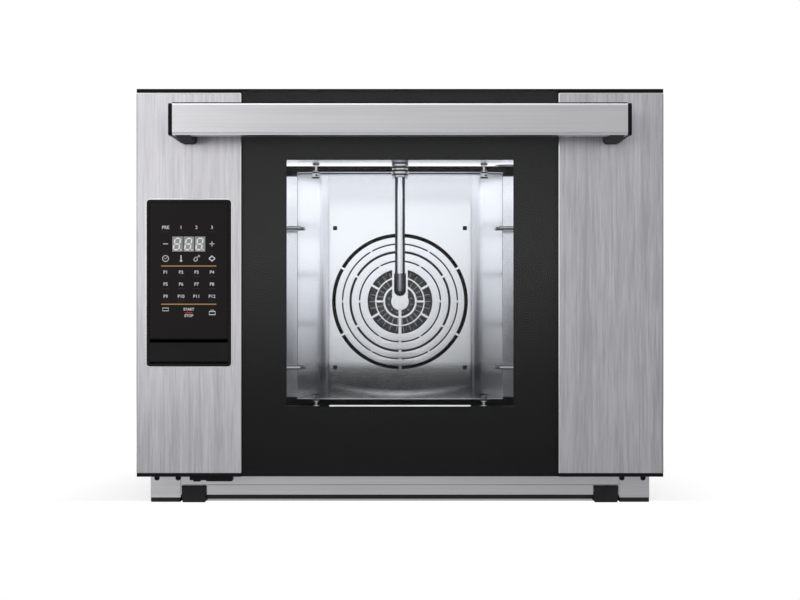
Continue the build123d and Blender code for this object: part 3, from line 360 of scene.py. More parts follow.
# The cooking chamber is polished stainless sheet, wrapped round and welded to its back wall.
# Its mouth is sealed by a moulded silicone gasket, and a mineral wool blanket lies around it.
def polished(name, colour, roughness, grain):
    """Stainless sheet with a bright rolled face and a faint grain."""
    steel = Finish(name)
    fine = steel.noise(grain, 2.0, 0.6)
    smear = steel.noise(14.0, 3.0, 0.55)
    dark = tuple(value * 0.93 for value in colour)
    shade = steel.mix(fine * 0.35 + smear * 0.65, dark, colour)
    return steel.surface(Base_Color=shade, Metallic=1.0,
                         Roughness=fine * 0.05 + smear * 0.05 + (roughness - 0.05),
                         Normal=steel.bump(fine, 0.05, 0.00005))


chamber_steel = polished("chamber_steel", (0.78, 0.79, 0.81), 0.22, (6.0, 500.0, 500.0))
bright_wire = polished("bright_wire", (0.80, 0.80, 0.81), 0.16, 600.0)
silicone = Finish("silicone")
bloom = silicone.noise(90.0, 3.0, 0.6)
silicone.surface(Base_Color=silicone.mix(bloom, (0.030, 0.030, 0.032), (0.060, 0.058, 0.056)),
                 Roughness=bloom * 0.2 + 0.42, Normal=silicone.bump(silicone.noise(900.0), 0.2, 0.0002))
wool = Finish("mineral_wool")
fibres = wool.noise((90.0, 420.0, 420.0), 4.0, 0.7)
tufts = wool.ramp(fibres, (0.3, 0.0), (0.7, 1.0))
wool.surface(Base_Color=wool.mix(tufts, (0.40, 0.36, 0.24), (0.66, 0.62, 0.48)),
             Roughness=fibres * 0.1 + 0.88, Normal=wool.bump(fibres, 0.8, 0.002))
frame_steel = brushed("frame_steel", (0.56, 0.56, 0.57), 0.36, (5.0, 700.0, 700.0), (1.5, 50.0, 50.0))
dress(chamber_steel, "cavity", "rack_hooks", "drain_strainer")
dress(silicone, "cavity_gasket")
dress(wool, "insulation")
dress(frame_steel, "front_frame")

# The back wall is painted near black behind the baffle, and above and below it where the air leaves: painted
# shade for the shadowed wall and gaps there. It is also dulled there. Only its outer strips beside the baffle
# stay bright.
baffle_low, baffle_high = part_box("fan_baffle")
baffle_middle = (baffle_low.z + baffle_high.z) / 2
painted_shade_steel = Finish("painted_shade_steel")
aside = painted_shade_steel.calculate("ABSOLUTE", painted_shade_steel.place("X"))
beyond = painted_shade_steel.calculate("ABSOLUTE", painted_shade_steel.place("Z") - baffle_middle)
cloud = painted_shade_steel.noise(40.0, 3.0, 0.6)
hidden = painted_shade_steel.ramp((aside - baffle_high.x) * 100.0 + 0.5, (0.35, 1.0), (0.65, 0.0))
over_edge = (beyond - (baffle_high.z - baffle_middle)) * 100.0 + 0.5
gap = painted_shade_steel.ramp(over_edge, (0.4, 0.0), (0.6, 1.0))
painted_shade = painted_shade_steel.calculate("MAXIMUM", hidden, gap)
shade_colour = painted_shade_steel.mix(cloud, (0.003, 0.003, 0.003), (0.010, 0.009, 0.008))
bright = painted_shade_steel.mix(cloud, (0.91, 0.92, 0.95), (0.94, 0.95, 0.98))
painted_shade_steel.surface(Base_Color=painted_shade_steel.mix(painted_shade, bright, shade_colour), Metallic=0.9,
                      Roughness=painted_shade * 0.3 + cloud * 0.05 + 0.11, Specular_IOR_Level=0.1)
dress(painted_shade_steel, "cavity_back_wall")

# Behind the baffle stand the three turns of the heating element and the fan wheel on its shaft.
# The element's sheath is a nickel alloy, browned by heat; the wheel is spot-welded stainless.
element_sheath = Finish("element_sheath")
tint = element_sheath.noise(30.0, 3.0, 0.6)
browned = element_sheath.ramp(tint, (0.3, (0.060, 0.050, 0.042)), (0.5, (0.10, 0.085, 0.075)),
                              (0.7, (0.07, 0.075, 0.10)))
element_sheath.surface(Base_Color=browned, Metallic=0.85, Roughness=tint * 0.2 + 0.38,
                       Normal=element_sheath.bump(element_sheath.noise(800.0), 0.3, 0.0001))
dress(element_sheath, "heating_element")
dress(polished("wheel_steel", (0.13, 0.13, 0.13), 0.36, 300.0), "fan_wheel", "motor_shaft", "fan_nut")

# The baffle is a pierced sheet, its sides bent back in soft curves and its upper and lower edges hemmed.
# Four screws with square black heads hold it to pegs on the back wall.
def arc(centre, radius, start, end, steps=16):
    """Points on a circle between two angles."""
    angles = [math.radians(start + (end - start) * index / steps) for index in range(steps + 1)]
    return [(centre[0] + radius * math.cos(angle), centre[1] + radius * math.sin(angle)) for angle in angles]


def round_hole(centre, radius):
    """The points of a round hole."""
    return arc(centre, radius, 0, 342, 19)


def rounded_loop(low, high, radius, steps=6):
    """The points of a rectangle with round corners, between two corners in X and Z."""
    left, right = low[0] + radius, high[0] - radius
    foot, head = low[1] + radius, high[1] - radius
    points = []
    for centre, start in (((right, head), 0), ((left, head), 90), ((left, foot), 180), ((right, foot), 270)):
        points += arc(centre, radius, start, start + 90, steps)
    return points


def crease(shape, degrees):
    """Keep a shape's edges sharp where its faces meet at more than an angle."""
    for edge in shape.edges:
        edge.smooth = edge.calc_face_angle(0.0) < math.radians(degrees)


facing = {"X": Matrix.Rotation(math.radians(90), 4, "Y"), "-X": Matrix.Rotation(math.radians(-90), 4, "Y"),
          "Y": Matrix.Rotation(math.radians(-90), 4, "X"), "-Y": Matrix.Rotation(math.radians(90), 4, "X"),
          "Z": Matrix.Identity(4)}


def cut_plate(name, loops, front, back, edge=0.0, resolution=2):
    """A flat plate facing the front, cut to outlines in X and Z: the first its edge, the rest holes."""
    curve = bpy.data.curves.new(name, "CURVE")
    curve.dimensions = "2D"
    curve.fill_mode = "BOTH"
    curve.extrude = (back - front) / 2 - edge
    curve.bevel_depth = edge
    curve.bevel_resolution = resolution
    curve.offset = -edge
    for loop in loops:
        spline = curve.splines.new("POLY")
        spline.points.add(len(loop) - 1)
        for point, (x, z) in zip(spline.points, loop):
            point.co = (x, z, 0.0, 1.0)
        spline.use_cyclic_u = True
    carrier = bpy.data.objects.new(name, curve)
    mesh = bpy.data.meshes.new_from_object(carrier)
    bpy.data.objects.remove(carrier)
    bpy.data.curves.remove(curve)
    mesh.name = name
    mesh.transform(Matrix.Translation((0.0, (front + back) / 2, 0.0)) @ facing["-Y"])
    shape = bmesh.new()
    shape.from_mesh(mesh)
    bmesh.ops.remove_doubles(shape, verts=shape.verts, dist=0.000002)
    bmesh.ops.recalc_face_normals(shape, faces=shape.faces)
    crease(shape, 50)
    shape.to_mesh(mesh)
    shape.free()
    return mesh


def skinned(rings, closed=False):
    """A shape skinned over rings of points, with caps at both ends unless the rings close in a circle."""
    shape = bmesh.new()
    rings = [[shape.verts.new(point) for point in ring] for ring in rings]
    for one, two in zip(rings, rings[1:] + (rings[:1] if closed else [])):
        for index in range(len(one)):
            after = (index + 1) % len(one)
            shape.faces.new((one[index], one[after], two[after], two[index]))
    if not closed:
        shape.faces.new(list(reversed(rings[0])))
        shape.faces.new(rings[-1])
    bmesh.ops.recalc_face_normals(shape, faces=shape.faces)
    return shape


def turned(name, profile, place=(0.0, 0.0, 0.0), axis="Z", steps=32):
    """A round piece: a profile of radius and height turned about an axis through a place."""
    angles = [2 * math.pi * index / steps for index in range(steps)]
    shape = skinned([[(radius * math.cos(angle), radius * math.sin(angle), height) for angle in angles]
                     for radius, height in profile])
    for face in shape.faces:
        face.smooth = len(face.verts) == 4
    bmesh.ops.transform(shape, matrix=Matrix.Translation(place) @ facing[axis], verts=shape.verts)
    return finished_mesh(name, shape)


# On the real baffle the foot mirrors the dark floor, and a bow of light crosses it. Here both are colours.
baffle_steel = Finish("baffle_steel")
grain = baffle_steel.noise((500.0, 500.0, 6.0), 2.0, 0.6)
smear = baffle_steel.noise(14.0, 3.0, 0.55)
off_middle, height = baffle_steel.place("X"), baffle_steel.place("Z")
aside = baffle_steel.calculate("ABSOLUTE", off_middle)
beside = baffle_steel.ramp(aside * 10.0 - 0.5, (0.52, 0.0), (0.68, 1.0))
painted_foot_shade = baffle_steel.ramp((height - 0.100) * 16.0, (0.30, 0.70), (0.55, 0.42), (0.70, 0.47), (0.85, 1.0))
painted_foot_shade = baffle_steel.calculate("MAXIMUM", painted_foot_shade, beside)
bow = baffle_steel.calculate("ABSOLUTE", height - off_middle * off_middle * 1.3 - 0.108)
fade = baffle_steel.calculate("MAXIMUM", 1.0 - aside * 10.0, 0.0)
painted_bow_light = baffle_steel.ramp(bow * 130.0, (0.0, 1.0), (0.8, 0.0)) * fade
shade = baffle_steel.mix(grain * 0.35 + smear * 0.65, (0.745, 0.755, 0.78), (0.80, 0.81, 0.84))
shade = baffle_steel.mix(painted_foot_shade, (0.0, 0.0, 0.0), shade)
baffle_steel.surface(Base_Color=baffle_steel.mix(painted_bow_light, shade, (0.98, 0.98, 1.0)), Metallic=1.0,
                     Roughness=grain * 0.04 + smear * 0.05 + painted_bow_light * 0.2 + 0.085,
                     Normal=baffle_steel.bump(grain, 0.02, 0.00005))
baffle_front = baffle_low.y
sheet = 0.001
wheel_low, wheel_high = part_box("fan_wheel")
fan_height = (wheel_low.z + wheel_high.z) / 2
slot_rings = (
    # inner and outer radius in mm, first spoke's angle, number of spokes, their half width in mm
    (12.4, 20.6, 90.0, 1, 2.2), (23.6, 32.6, 0.0, 2, 1.5), (34.7, 45.0, 30.0, 6, 1.6),
    (55.4, 57.2, 0.0, 6, 1.6), (67.4, 70.4, 30.0, 6, 1.6), (79.1, 80.9, 0.0, 6, 1.6),
    (89.6, 94.5, 30.0, 6, 1.6))
bar_half = 0.0022
pad_half = 0.0110
pad_reach = 0.046
bend_from = 0.097
bend_to = 0.117
lean = math.atan2(0.009, baffle_high.x - (bend_from + bend_to) / 2)
fold_radius = 0.0012
bend_gain = bend_from + (bend_to - bend_from) * math.sin(lean) / lean
fold_from = bend_to + (baffle_high.x - fold_radius * (1.0 - math.sin(lean)) - bend_gain) / math.cos(lean)
fold_to = fold_from + fold_radius * (math.pi / 2 - lean)
sheet_end = fold_to + 0.0099
bends = ((bend_from, bend_to, lean), (fold_from, fold_to, math.pi / 2 - lean))
path_step = 0.00025


def turn_at(along):
    """How far the sheet has turned back at a distance from its middle."""
    return sum(angle * min(1.0, max(0.0, (along - start) / (end - start))) for start, end, angle in bends)


path = [(0.0, 0.0)]
while len(path) * path_step < sheet_end + 2 * path_step:
    turn = turn_at((len(path) - 0.5) * path_step)
    path.append((path[-1][0] + path_step * math.cos(turn), path[-1][1] + path_step * math.sin(turn)))


def bent(along, depth):
    """Where a point of the flat blank lies in X and Y once the sheet is bent."""
    steps = min(abs(along) / path_step, len(path) - 1.001)
    index = int(steps)
    share = steps - index
    x, y = (path[index][axis] * (1.0 - share) + path[index + 1][axis] * share for axis in (0, 1))
    turn = turn_at(abs(along))
    return math.copysign(x - depth * math.sin(turn), along), baffle_front + y + depth * math.cos(turn)


def ring_slots(inner, outer, first, count, half):
    """The outlines of a circle of curved slots, left whole at its spokes, the pad and the upright bar."""
    whole = {(first + 360.0 / count * index) % 360.0: half * 0.001 for index in range(count)}
    whole[270.0] = max(whole.get(270.0, 0.0), bar_half)
    whole[90.0] = max(whole.get(90.0, 0.0), pad_half if outer * 0.001 < pad_reach else bar_half)
    spokes = sorted(whole)
    outlines = []
    for here, there in zip(spokes, spokes[1:] + [spokes[0] + 360.0]):
        outline = []
        for radius in (outer * 0.001, inner * 0.001):
            start = math.radians(here) + math.asin(whole[here] / radius)
            end = math.radians(there) - math.asin(whole[there % 360.0] / radius)
            steps = max(4, round(radius * (end - start) / 0.0025))
            side = arc((0.0, fan_height), radius, math.degrees(start), math.degrees(end), steps)
            outline += reversed(side) if outline else side
        outlines.append(outline)
    return outlines


loops = [rounded_loop((-sheet_end, baffle_low.z), (sheet_end, baffle_high.z), 0.0004, 2)]
for ring in slot_rings:
    loops += ring_slots(*ring)
screws_low, screws_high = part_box("baffle_screws")
head_half = 0.0028
screw_hole, pad_hole = 0.0021, 0.0060
pad_hole_rise = 0.0158
for x in (screws_low.x + head_half, screws_high.x - head_half):
    for z in (screws_low.z + head_half, screws_high.z - head_half):
        loops.append(round_hole((x, z), screw_hole))
loops.append(round_hole((0.0, fan_height + pad_hole_rise), pad_hole))
blank = cut_plate("baffle_blank", loops, 0.0, sheet, 0.0003, 1)
hem_height = 0.0019
hem_front, hem_back = -0.0004, 0.0016
hem_drop = 0.0012
hems = [box_mesh("hem", (-sheet_end, hem_front, low), (sheet_end, hem_back, low + hem_height), 0.0008, 3)
        for low in (baffle_low.z - hem_drop, baffle_high.z - hem_height, baffle_high.z + hem_drop)]
baffle_mesh = merged("fan_baffle_bent", [blank] + hems)
shape = bmesh.new()
shape.from_mesh(baffle_mesh)
cuts = [start + (end - start) * index / 8 for start, end, angle in bends for index in range(9)]
for cut in [side * along for along in cuts for side in (-1, 1)]:
    everything = shape.verts[:] + shape.edges[:] + shape.faces[:]
    bmesh.ops.bisect_plane(shape, geom=everything, plane_co=(cut, 0.0, 0.0), plane_no=(1.0, 0.0, 0.0))
for vert in shape.verts:
    x, y = bent(vert.co.x, vert.co.y)
    vert.co = (x, y, vert.co.z)
for face in shape.faces:
    face.smooth = True
crease(shape, 40)
shape.to_mesh(baffle_mesh)
shape.free()
baffle = place_piece("fan_baffle_bent", baffle_mesh, baffle_steel, "body", "chamber_steel", "fan_baffle")
level_shading(baffle)
black_screws = mottled("black_screws", None, (0.006, 0.006, 0.007), (0.018, 0.018, 0.020), (500.0, 2.0, 0.6),
                       0.2, 0.45, (0.2, 0.0001), Specular_IOR_Level=0.2)
dress(black_screws, "baffle_screws")

# The fan wheel's hub carries a ring of rivets and pressed ribs, seen through the baffle's inner slots.
wheel_face = wheel_low.y - 0.0002
rivet_circle = 0.0162
rivet_profile = ((0.0016, 0.0), (0.0015, 0.0008), (0.0008, 0.0012))
rivets = [turned("rivet", rivet_profile, (x, wheel_face, z), "-Y", 12)
          for x, z in arc((0.0, fan_height), rivet_circle, 15, 345, 11)]
rib_count = 26
ribs = []
for index in range(rib_count):
    rib = box_mesh("rib", (0.0240, -0.0010, -0.0007), (0.0425, 0.0006, 0.0007), 0.0004)
    turn = Matrix.Rotation(2 * math.pi * index / rib_count, 4, "Y")
    rib.transform(Matrix.Translation((0.0, wheel_face, fan_height)) @ turn)
    ribs.append(rib)
rib_steel = polished("rib_steel", (0.40, 0.40, 0.41), 0.3, 300.0)
place_piece("wheel_rivets_ribs", rivets + ribs, rib_steel, "fan", "chamber_steel")

# Four clips straddle the baffle's hems. Each hangs on a threaded stud with a nut at the ceiling or the floor
# and a second nut at the clip. A black pad under its lip is painted shade for the shadow there.
clip_x = 0.1175
half = 0.0046
thread_root, thread_crest = 0.0013, 0.0016
thread_steps = 40
stud_sunk = 0.0006
clip_turn = turn_at(clip_x)
clip_meshes = []
shade_pads_and_washers = []
cavity_low, cavity_high = 0.0900, 0.4286
for edge, wall, outward in ((baffle_high.z, cavity_high, 1.0), (baffle_low.z, cavity_low, -1.0)):
    for side in (-1.0, 1.0):
        x, y = bent(side * clip_x, sheet / 2)
        length = abs(wall - edge) - 0.0002
        threads = [(thread_crest if index % 2 else thread_root,
                    -stud_sunk + (length + stud_sunk) * index / thread_steps)
                   for index in range(thread_steps + 1)]
        wall_nut = ((0.0040, length - 0.0026), (0.0044, length - 0.0022), (0.0044, length - 0.0008),
                    (0.0042, length - 0.0005))
        clip_nut = ((0.0036, 0.0026), (0.0040, 0.0029), (0.0040, 0.0046), (0.0036, 0.0050))
        bright_parts = [
            turned("stud", threads, steps=12),
            turned("nut", wall_nut, steps=6),
            turned("nut", clip_nut, steps=6),
            box_mesh("web", (-half, -0.0034, 0.0004), (half, 0.0030, 0.0014), 0.0003),
            box_mesh("lip", (-half, -0.0034, -0.0044), (half, -0.0022, 0.0014), 0.0004),
            box_mesh("lip", (-half, 0.0018, -0.0044), (half, 0.0030, 0.0014), 0.0004)]
        dark_parts = [
            turned("washer", ((0.0052, 0.0017), (0.0052, 0.0024)), steps=24),
            turned("washer", ((0.0054, length - 0.0005), (0.0054, length + 0.0001)), steps=24),
            # the black pad under the lip is painted shade
            box_mesh("pad", (-half - 0.0002, -0.0037, -0.0060), (half + 0.0002, -0.0008, -0.0042), 0.0004),
            turned("screw", ((0.0015, 0.0), (0.0015, 0.0006), (0.0010, 0.0010)), (0.0018, -0.0034, -0.0018),
                   "-Y", 12)]
        for parts, gathered in ((bright_parts, clip_meshes), (dark_parts, shade_pads_and_washers)):
            clip = merged("clip", parts)
            flip = Matrix.Diagonal((1.0, 1.0, outward, 1.0))
            turn = Matrix.Rotation(side * clip_turn, 4, "Z")
            clip.transform(Matrix.Translation((x, y, edge)) @ turn @ flip)
            if outward < 0.0:
                clip.flip_normals()
            gathered.append(clip)
place_piece("baffle_clips", clip_meshes, bright_wire, "body", "chamber_steel", "baffle_brackets")
place_piece("clip_shade_pads_and_washers", shade_pads_and_washers, black_screws, "body", "black_screws")

# The steam pipe is chromed tube with a brazed elbow. A flanged nut locks it under the ceiling and a
# second one clamps the baffle's upper edge.
pipe_radius = 0.00695
elbow_top = fan_height + 0.0388
pipe_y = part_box("steam_pipe")[0].y + 0.0083
chrome = Finish("pipe_chrome")
behind = (chrome.place("Y") - pipe_y) * (0.5 / pipe_radius)
elbow = chrome.calculate("LESS_THAN", chrome.place("Z"), elbow_top)
streak = chrome.noise((700.0, 700.0, 30.0), 2.0, 0.6)
# The pipe's colour carries painted shade and reflection: bright only along its front, dark towards its sides
# and rear, darker still over the elbow.
painted_shading = chrome.ramp(behind + streak * 0.02 + elbow * 0.16 + 0.49, (0.030, (0.84, 0.85, 0.87)),
                     (0.065, (0.30, 0.30, 0.32)), (0.11, (0.05, 0.05, 0.06)))
chrome.surface(Base_Color=painted_shading, Metallic=1.0, Roughness=streak * 0.05 + 0.10)
dress(chrome, "steam_pipe")
collars_low, collars_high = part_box("pipe_collars")
collar_x = (collars_low.x + collars_high.x) / 2
collar_y = (collars_low.y + collars_high.y) / 2
flange_heights, nut_heights = (0.4234, 0.4130), (0.4184, 0.4086)
# Thin black rings at the flanges' top edges and between flanges and nuts are painted shade for the shadowed
# edges and gaps there.
shade_ring_heights = (0.4277, 0.4227, 0.4176, 0.4125)
flange = ((0.0118, 0.0), (0.0123, 0.0037), (0.0118, 0.0042))
hexagon = ((0.0098, 0.0), (0.0106, 0.0006), (0.0106, 0.0034), (0.0102, 0.0040))
shade_band = ((0.0112, 0.0), (0.0112, 0.0006))
flanges = [turned("flange", flange, (collar_x, collar_y, height), "Z", 40) for height in flange_heights]
collar_parts = [turned("nut", hexagon, (collar_x, collar_y, height), "Z", 6) for height in nut_heights]
collar_parts.append(box_mesh("clamp", (collar_x - 0.006, collar_y + 0.004, collars_low.z + 0.0004),
                             (collar_x + 0.006, collars_high.y, collars_low.z + 0.0044), 0.0005))
shade_rings = [turned("shade_band", shade_band, (collar_x, collar_y, height)) for height in shade_ring_heights]
nut_steel = polished("nut_steel", (0.70, 0.70, 0.72), 0.2, 400.0)
flange_steel = polished("flange_steel", (0.88, 0.89, 0.91), 0.2, 400.0)
place_piece("pipe_collars_turned", collar_parts, nut_steel, "body", "chamber_steel", "pipe_collars")
place_piece("pipe_flanges", flanges, flange_steel, "body", "chamber_steel")
place_piece("collar_shade_rings", shade_rings, black_screws, "body", "black_screws")

# Wire racks hang on hooks along the side walls; drain, probe and exhaust open into the chamber. The racks'
# level rods are darkened along their middle and their upper side: painted shade and reflection bands across
# each rod.
rod_low, rod_high, wire_radius = 0.1450, 0.3395, 0.0025
rod_chrome = Finish("rod_chrome")
rise = rod_chrome.place("Z")
off_axis = rise - (rise > (rod_low + rod_high) / 2) * (rod_high - rod_low) - rod_low
pull = rod_chrome.noise(600.0, 2.0, 0.6)
painted_reflection_bands = rod_chrome.ramp(off_axis * (0.5 / wire_radius) + 0.5, (0.0, 0.03), (0.20, 0.05), (0.32, 0.45),
                         (0.50, 0.55), (0.56, 0.95), (0.78, 0.95), (0.84, 0.06), (1.0, 0.10))
rod_chrome.surface(Base_Color=rod_chrome.mix(pull * 0.1, painted_reflection_bands, (0.70, 0.70, 0.72)), Metallic=1.0,
                   Roughness=pull * 0.05 + 0.26)
dress(rod_chrome, "rack_left", "rack_right")
dress(bright_wire, "temperature_probe")
dress(plain_steel, "exhaust_pipe", "drain_pipe")


# The casing panels are plain stainless sheet with a fine vertical grain, screwed to the frame.
# Each side panel has louvres pressed out over the slots beside the electronics.
def separate_boxes(node):
    """The corners of each solid of a CAD node, from left to right, front to back and upwards."""
    shape = bmesh.new()
    shape.from_mesh(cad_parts[node].data)
    bmesh.ops.remove_doubles(shape, verts=shape.verts, dist=0.000001)
    waiting = set(shape.verts)
    boxes = []
    while waiting:
        reached = [waiting.pop()]
        for vert in reached:
            for edge in vert.link_edges:
                other = edge.other_vert(vert)
                if other in waiting:
                    waiting.remove(other)
                    reached.append(other)
        low = Vector(min(vert.co[i] for vert in reached) for i in range(3))
        high = Vector(max(vert.co[i] for vert in reached) for i in range(3))
        boxes.append((low, high))
    shape.free()
    return sorted(boxes, key=lambda box: tuple(round(value, 4) for value in box[0]))


def pan_head(place, axis, radius, height):
    """A low domed screw head with a cross recess."""
    steps = 32
    profile = ((radius, 0.0), (radius, height * 0.35), (radius * 0.86, height * 0.75),
               (radius * 0.58, height), (radius * 0.5, height), (radius * 0.16, height))
    mesh = turned("pan_head", profile, steps=steps)
    arm_half = 1
    for vert in mesh.vertices:
        if vert.co.z > height * 0.99 and vert.co.xy.length < radius * 0.55:
            step = round(math.degrees(math.atan2(vert.co.y, vert.co.x)) / (360 / steps)) % (steps // 4)
            if step <= arm_half or step >= steps // 4 - arm_half:
                vert.co.z -= height * 0.55
    mesh.transform(Matrix.Translation(place) @ facing[axis])
    return mesh


panel_steel = brushed("panel_steel", (0.58, 0.58, 0.60), 0.38, (700.0, 700.0, 5.0), (50.0, 50.0, 1.5), 0.3)
top_steel = brushed("top_steel", (0.58, 0.58, 0.60), 0.38, (5.0, 700.0, 700.0), (1.5, 50.0, 50.0))
dress(panel_steel, "side_panels", "back_panel")
dress(top_steel, "top_panel")
soften(0.0006, "side_panels", "back_panel", "top_panel")

zinc_steel = Finish("zinc_steel")
spangle = zinc_steel.node("TexVoronoi", {"feature": "F1"},
                          {"Vector": zinc_steel.point(1.0, 1.0, 1.0), "Scale": 160.0}, output="Color")
spangle = zinc_steel.coordinate(spangle, "X")
zinc_steel.surface(Base_Color=zinc_steel.mix(spangle, (0.50, 0.51, 0.53), (0.66, 0.67, 0.69)), Metallic=1.0,
                   Roughness=spangle * 0.16 + 0.34, Normal=zinc_steel.bump(spangle, 0.1, 0.0001))

slot_rows = 9
slot_low = 0.080
slot_pitch = 0.014
hood_profile = ((0.0, 0.0062), (0.0014, 0.0056), (0.0028, 0.0042), (0.0036, 0.0022), (0.0036, 0.0006))
hood_rings = 24
rear_room_front, vent_margin = 0.216, 0.014
sheet_thickness = 0.001
hood_overlap = 0.004
side_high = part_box("side_panels")[1]
hood_from = rear_room_front + vent_margin - hood_overlap
hood_to = side_high.y - sheet_thickness - vent_margin + hood_overlap


def louvre(side, height):
    """A hood pressed out of the side panel, open at its lower edge and closed at its ends."""
    shape = bmesh.new()
    rings = []
    for index in range(hood_rings + 1):
        along = index / hood_rings
        y = hood_from + (hood_to - hood_from) * along
        swell = min(1.0, math.sqrt(max(0.0, min(along, 1.0 - along) * 9.0)))
        rings.append([shape.verts.new((side * (side_high.x + out * swell), y, height + rise))
                      for out, rise in hood_profile])
    for before, after in zip(rings, rings[1:]):
        for index in range(len(hood_profile) - 1):
            corners = (before[index], before[index + 1], after[index + 1], after[index])
            shape.faces.new(corners if side < 0 else tuple(reversed(corners))).smooth = True
    bmesh.ops.recalc_face_normals(shape, faces=shape.faces)
    bmesh.ops.solidify(shape, geom=shape.faces[:], thickness=0.0007)
    return finished_mesh("louvre", shape)


hoods = [louvre(side, slot_low + slot_pitch * row) for side in (-1, 1) for row in range(slot_rows)]
place_piece("louvre_hoods", hoods, panel_steel, "body", "plain_steel")

# Screws in the top panel face up, those in front and back face along Y, the others out of the sides.
head_height = 0.002
top_from = 0.4
nearly = 0.0005
heads = []
plate_heads = []
for low, high in separate_boxes("casing_screws"):
    middle = (low + high) / 2
    size = high - low
    if size.z < size.x and abs(size.y - size.x) < nearly and middle.z > top_from:
        heads.append(pan_head((middle.x, middle.y, high.z - head_height), "Z", size.x / 2, head_height))
    elif size.y > size.x or abs(size.x - size.z) < nearly:
        front = middle.y < 0
        place = (middle.x, low.y + head_height if front else high.y - head_height, middle.z)
        gathered = plate_heads if front else heads
        gathered.append(pan_head(place, "-Y" if front else "Y", size.x / 2, head_height))
    else:
        side = 1 if middle.x > 0 else -1
        place = ((high.x if side > 0 else low.x) - side * head_height, middle.y, middle.z)
        heads.append(pan_head(place, "X" if side > 0 else "-X", size.z / 2, head_height))
place_piece("casing_screw_heads", heads, zinc_steel, "body", "zinc_steel", "casing_screws")
place_piece("plate_screw_heads", plate_heads, black_screws, "body", "black_screws")


# Behind the chamber sit the fan motor on its plate, the water valve, the boards and their cooling fan.
# The motor is die-cast and painted; the valve is turned brass with a threaded inlet through the panel.
motor_paint = mottled("motor_paint", (20.0, 3.0), (0.030, 0.033, 0.038), (0.055, 0.058, 0.064),
                      (260.0, 2.0, 0.5), 0.15, 0.42, (0.25, 0.0002))
valve_brass = mottled("valve_brass", (80.0, 3.0), (0.55, 0.38, 0.15), (0.70, 0.52, 0.24),
                      ((60.0, 1500.0, 60.0), 2.0, 0.6), 0.15, 0.25, (0.15, 0.0001), Metallic=1.0)
water_line = mottled("water_line", (50.0,), (0.55, 0.57, 0.58), (0.70, 0.72, 0.73), (400.0,), 0.1, 0.3)
fan_plastic = mottled("fan_plastic", (40.0,), (0.012, 0.012, 0.013), (0.024, 0.024, 0.026),
                      (1200.0, 2.0, 0.6), 0.2, 0.42, (0.3, 0.0001))
circuit_board = Finish("circuit_board")
tracks = circuit_board.node("TexVoronoi", {"feature": "DISTANCE_TO_EDGE"},
                            {"Vector": circuit_board.point(1.0, 0.2, 1.0), "Scale": 260.0})
between = circuit_board.ramp(tracks, (0.04, 0.0), (0.10, 1.0))
circuit_board.surface(Base_Color=circuit_board.mix(between, (0.035, 0.16, 0.065), (0.012, 0.075, 0.030)),
                      Roughness=tracks * 0.2 + 0.35, Coat_Weight=0.3)
dress(motor_paint, "fan_motor")
dress(valve_brass, "water_valve")
dress(water_line, "water_tube")
dress(fan_plastic, "safety_thermostat", "cooling_fan_frame", "cooling_fan_blades", "cable_gland",
      "door_sensor")
dress(circuit_board, "power_board")
dress(zinc_steel, "motor_plate")
soften(0.0008, "cable_gland", "water_valve")


# The door is one full-width tray of pressed steel. It hinges at its bottom on two spring-loaded hinges,
# whose channels, rods and springs stand inside it behind the columns.
dress(plain_steel, "door_frame")
dress(zinc_steel, "hinge_arms", "hinge_channels", "glass_clips", "door_springs", "spring_rods")
black_plastic = mottled("black_plastic", (30.0,), (0.003, 0.003, 0.0035), (0.006, 0.006, 0.007),
                        (1500.0, 2.0, 0.6), 0.16, 0.38, (0.2, 0.0001), Specular_IOR_Level=0.14)
dress(black_plastic, "door_caps", "harness_guide", "handle_brackets")
soften(0.0006, "door_caps", "harness_guide", "handle_brackets")

# Two panes of toughened glass close the door. The outer one is printed black on its rear face, all but
# the window, and runs over the door's full height between the columns.
def pane(name, dark, light, refraction):
    """Clear glass with a faint uneven tint."""
    glass = Finish(name)
    return glass.surface(Base_Color=glass.mix(glass.noise(8.0), dark, light), Roughness=0.0,
                         Transmission_Weight=1.0, IOR=refraction)


door_glass = pane("door_glass", (0.985, 0.992, 0.990), (1.0, 1.0, 1.0), 1.2)
coated_glass = pane("coated_glass", (0.80, 0.81, 0.81), (0.84, 0.85, 0.85), 1.15)
dress(door_glass, "outer_glass")
dress(coated_glass, "inner_glass")
for node in ("outer_glass", "inner_glass"):
    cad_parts[node].visible_shadow = False

glass_low, glass_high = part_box("outer_glass")
window_low, window_high = (-0.1293, 0.1176), (0.1293, 0.3988)
glass_print = Finish("glass_print")
speck = glass_print.noise(300.0, 2.0)
# The print's colour is lighter high up and darker low down: a painted reflection of the light from above.
painted_light_by_height = glass_print.ramp(glass_print.place("Z") * 2.0, (0.10, 0.0065), (0.30, 0.013), (0.58, 0.034),
                           (0.95, 0.031))
glass_print.surface(Base_Color=glass_print.mix(speck * 0.15, painted_light_by_height, (0.050, 0.050, 0.056)),
                    Roughness=speck * 0.1 + 0.8, Specular_IOR_Level=0.0)
print_loops = [rounded_loop((glass_low.x, glass_low.z), (glass_high.x, glass_high.z), 0.0005),
               rounded_loop(window_low, window_high, 0.001)]
print_mesh = cut_plate("glass_black_print", print_loops, glass_high.y - 0.0004, glass_high.y)
place_piece("glass_black_print", print_mesh, glass_print, "door", "door_glass")

# Light bars stand beside the window inside the door: an aluminium body behind a frosted cool-white
# cover. The chamber's light comes from unseen lamps at its mouth, its sides, its ceiling and its floor.
lamp_cover = mottled("lamp_cover", None, (0.82, 0.84, 0.86), (0.90, 0.92, 0.94), (700.0,), 0.1, 0.4,
                     Emission_Color=(0.93, 0.96, 1.0), Emission_Strength=0.5)
dress(lamp_cover, "light_bars")
cool_white = (0.945, 0.955, 1.0)


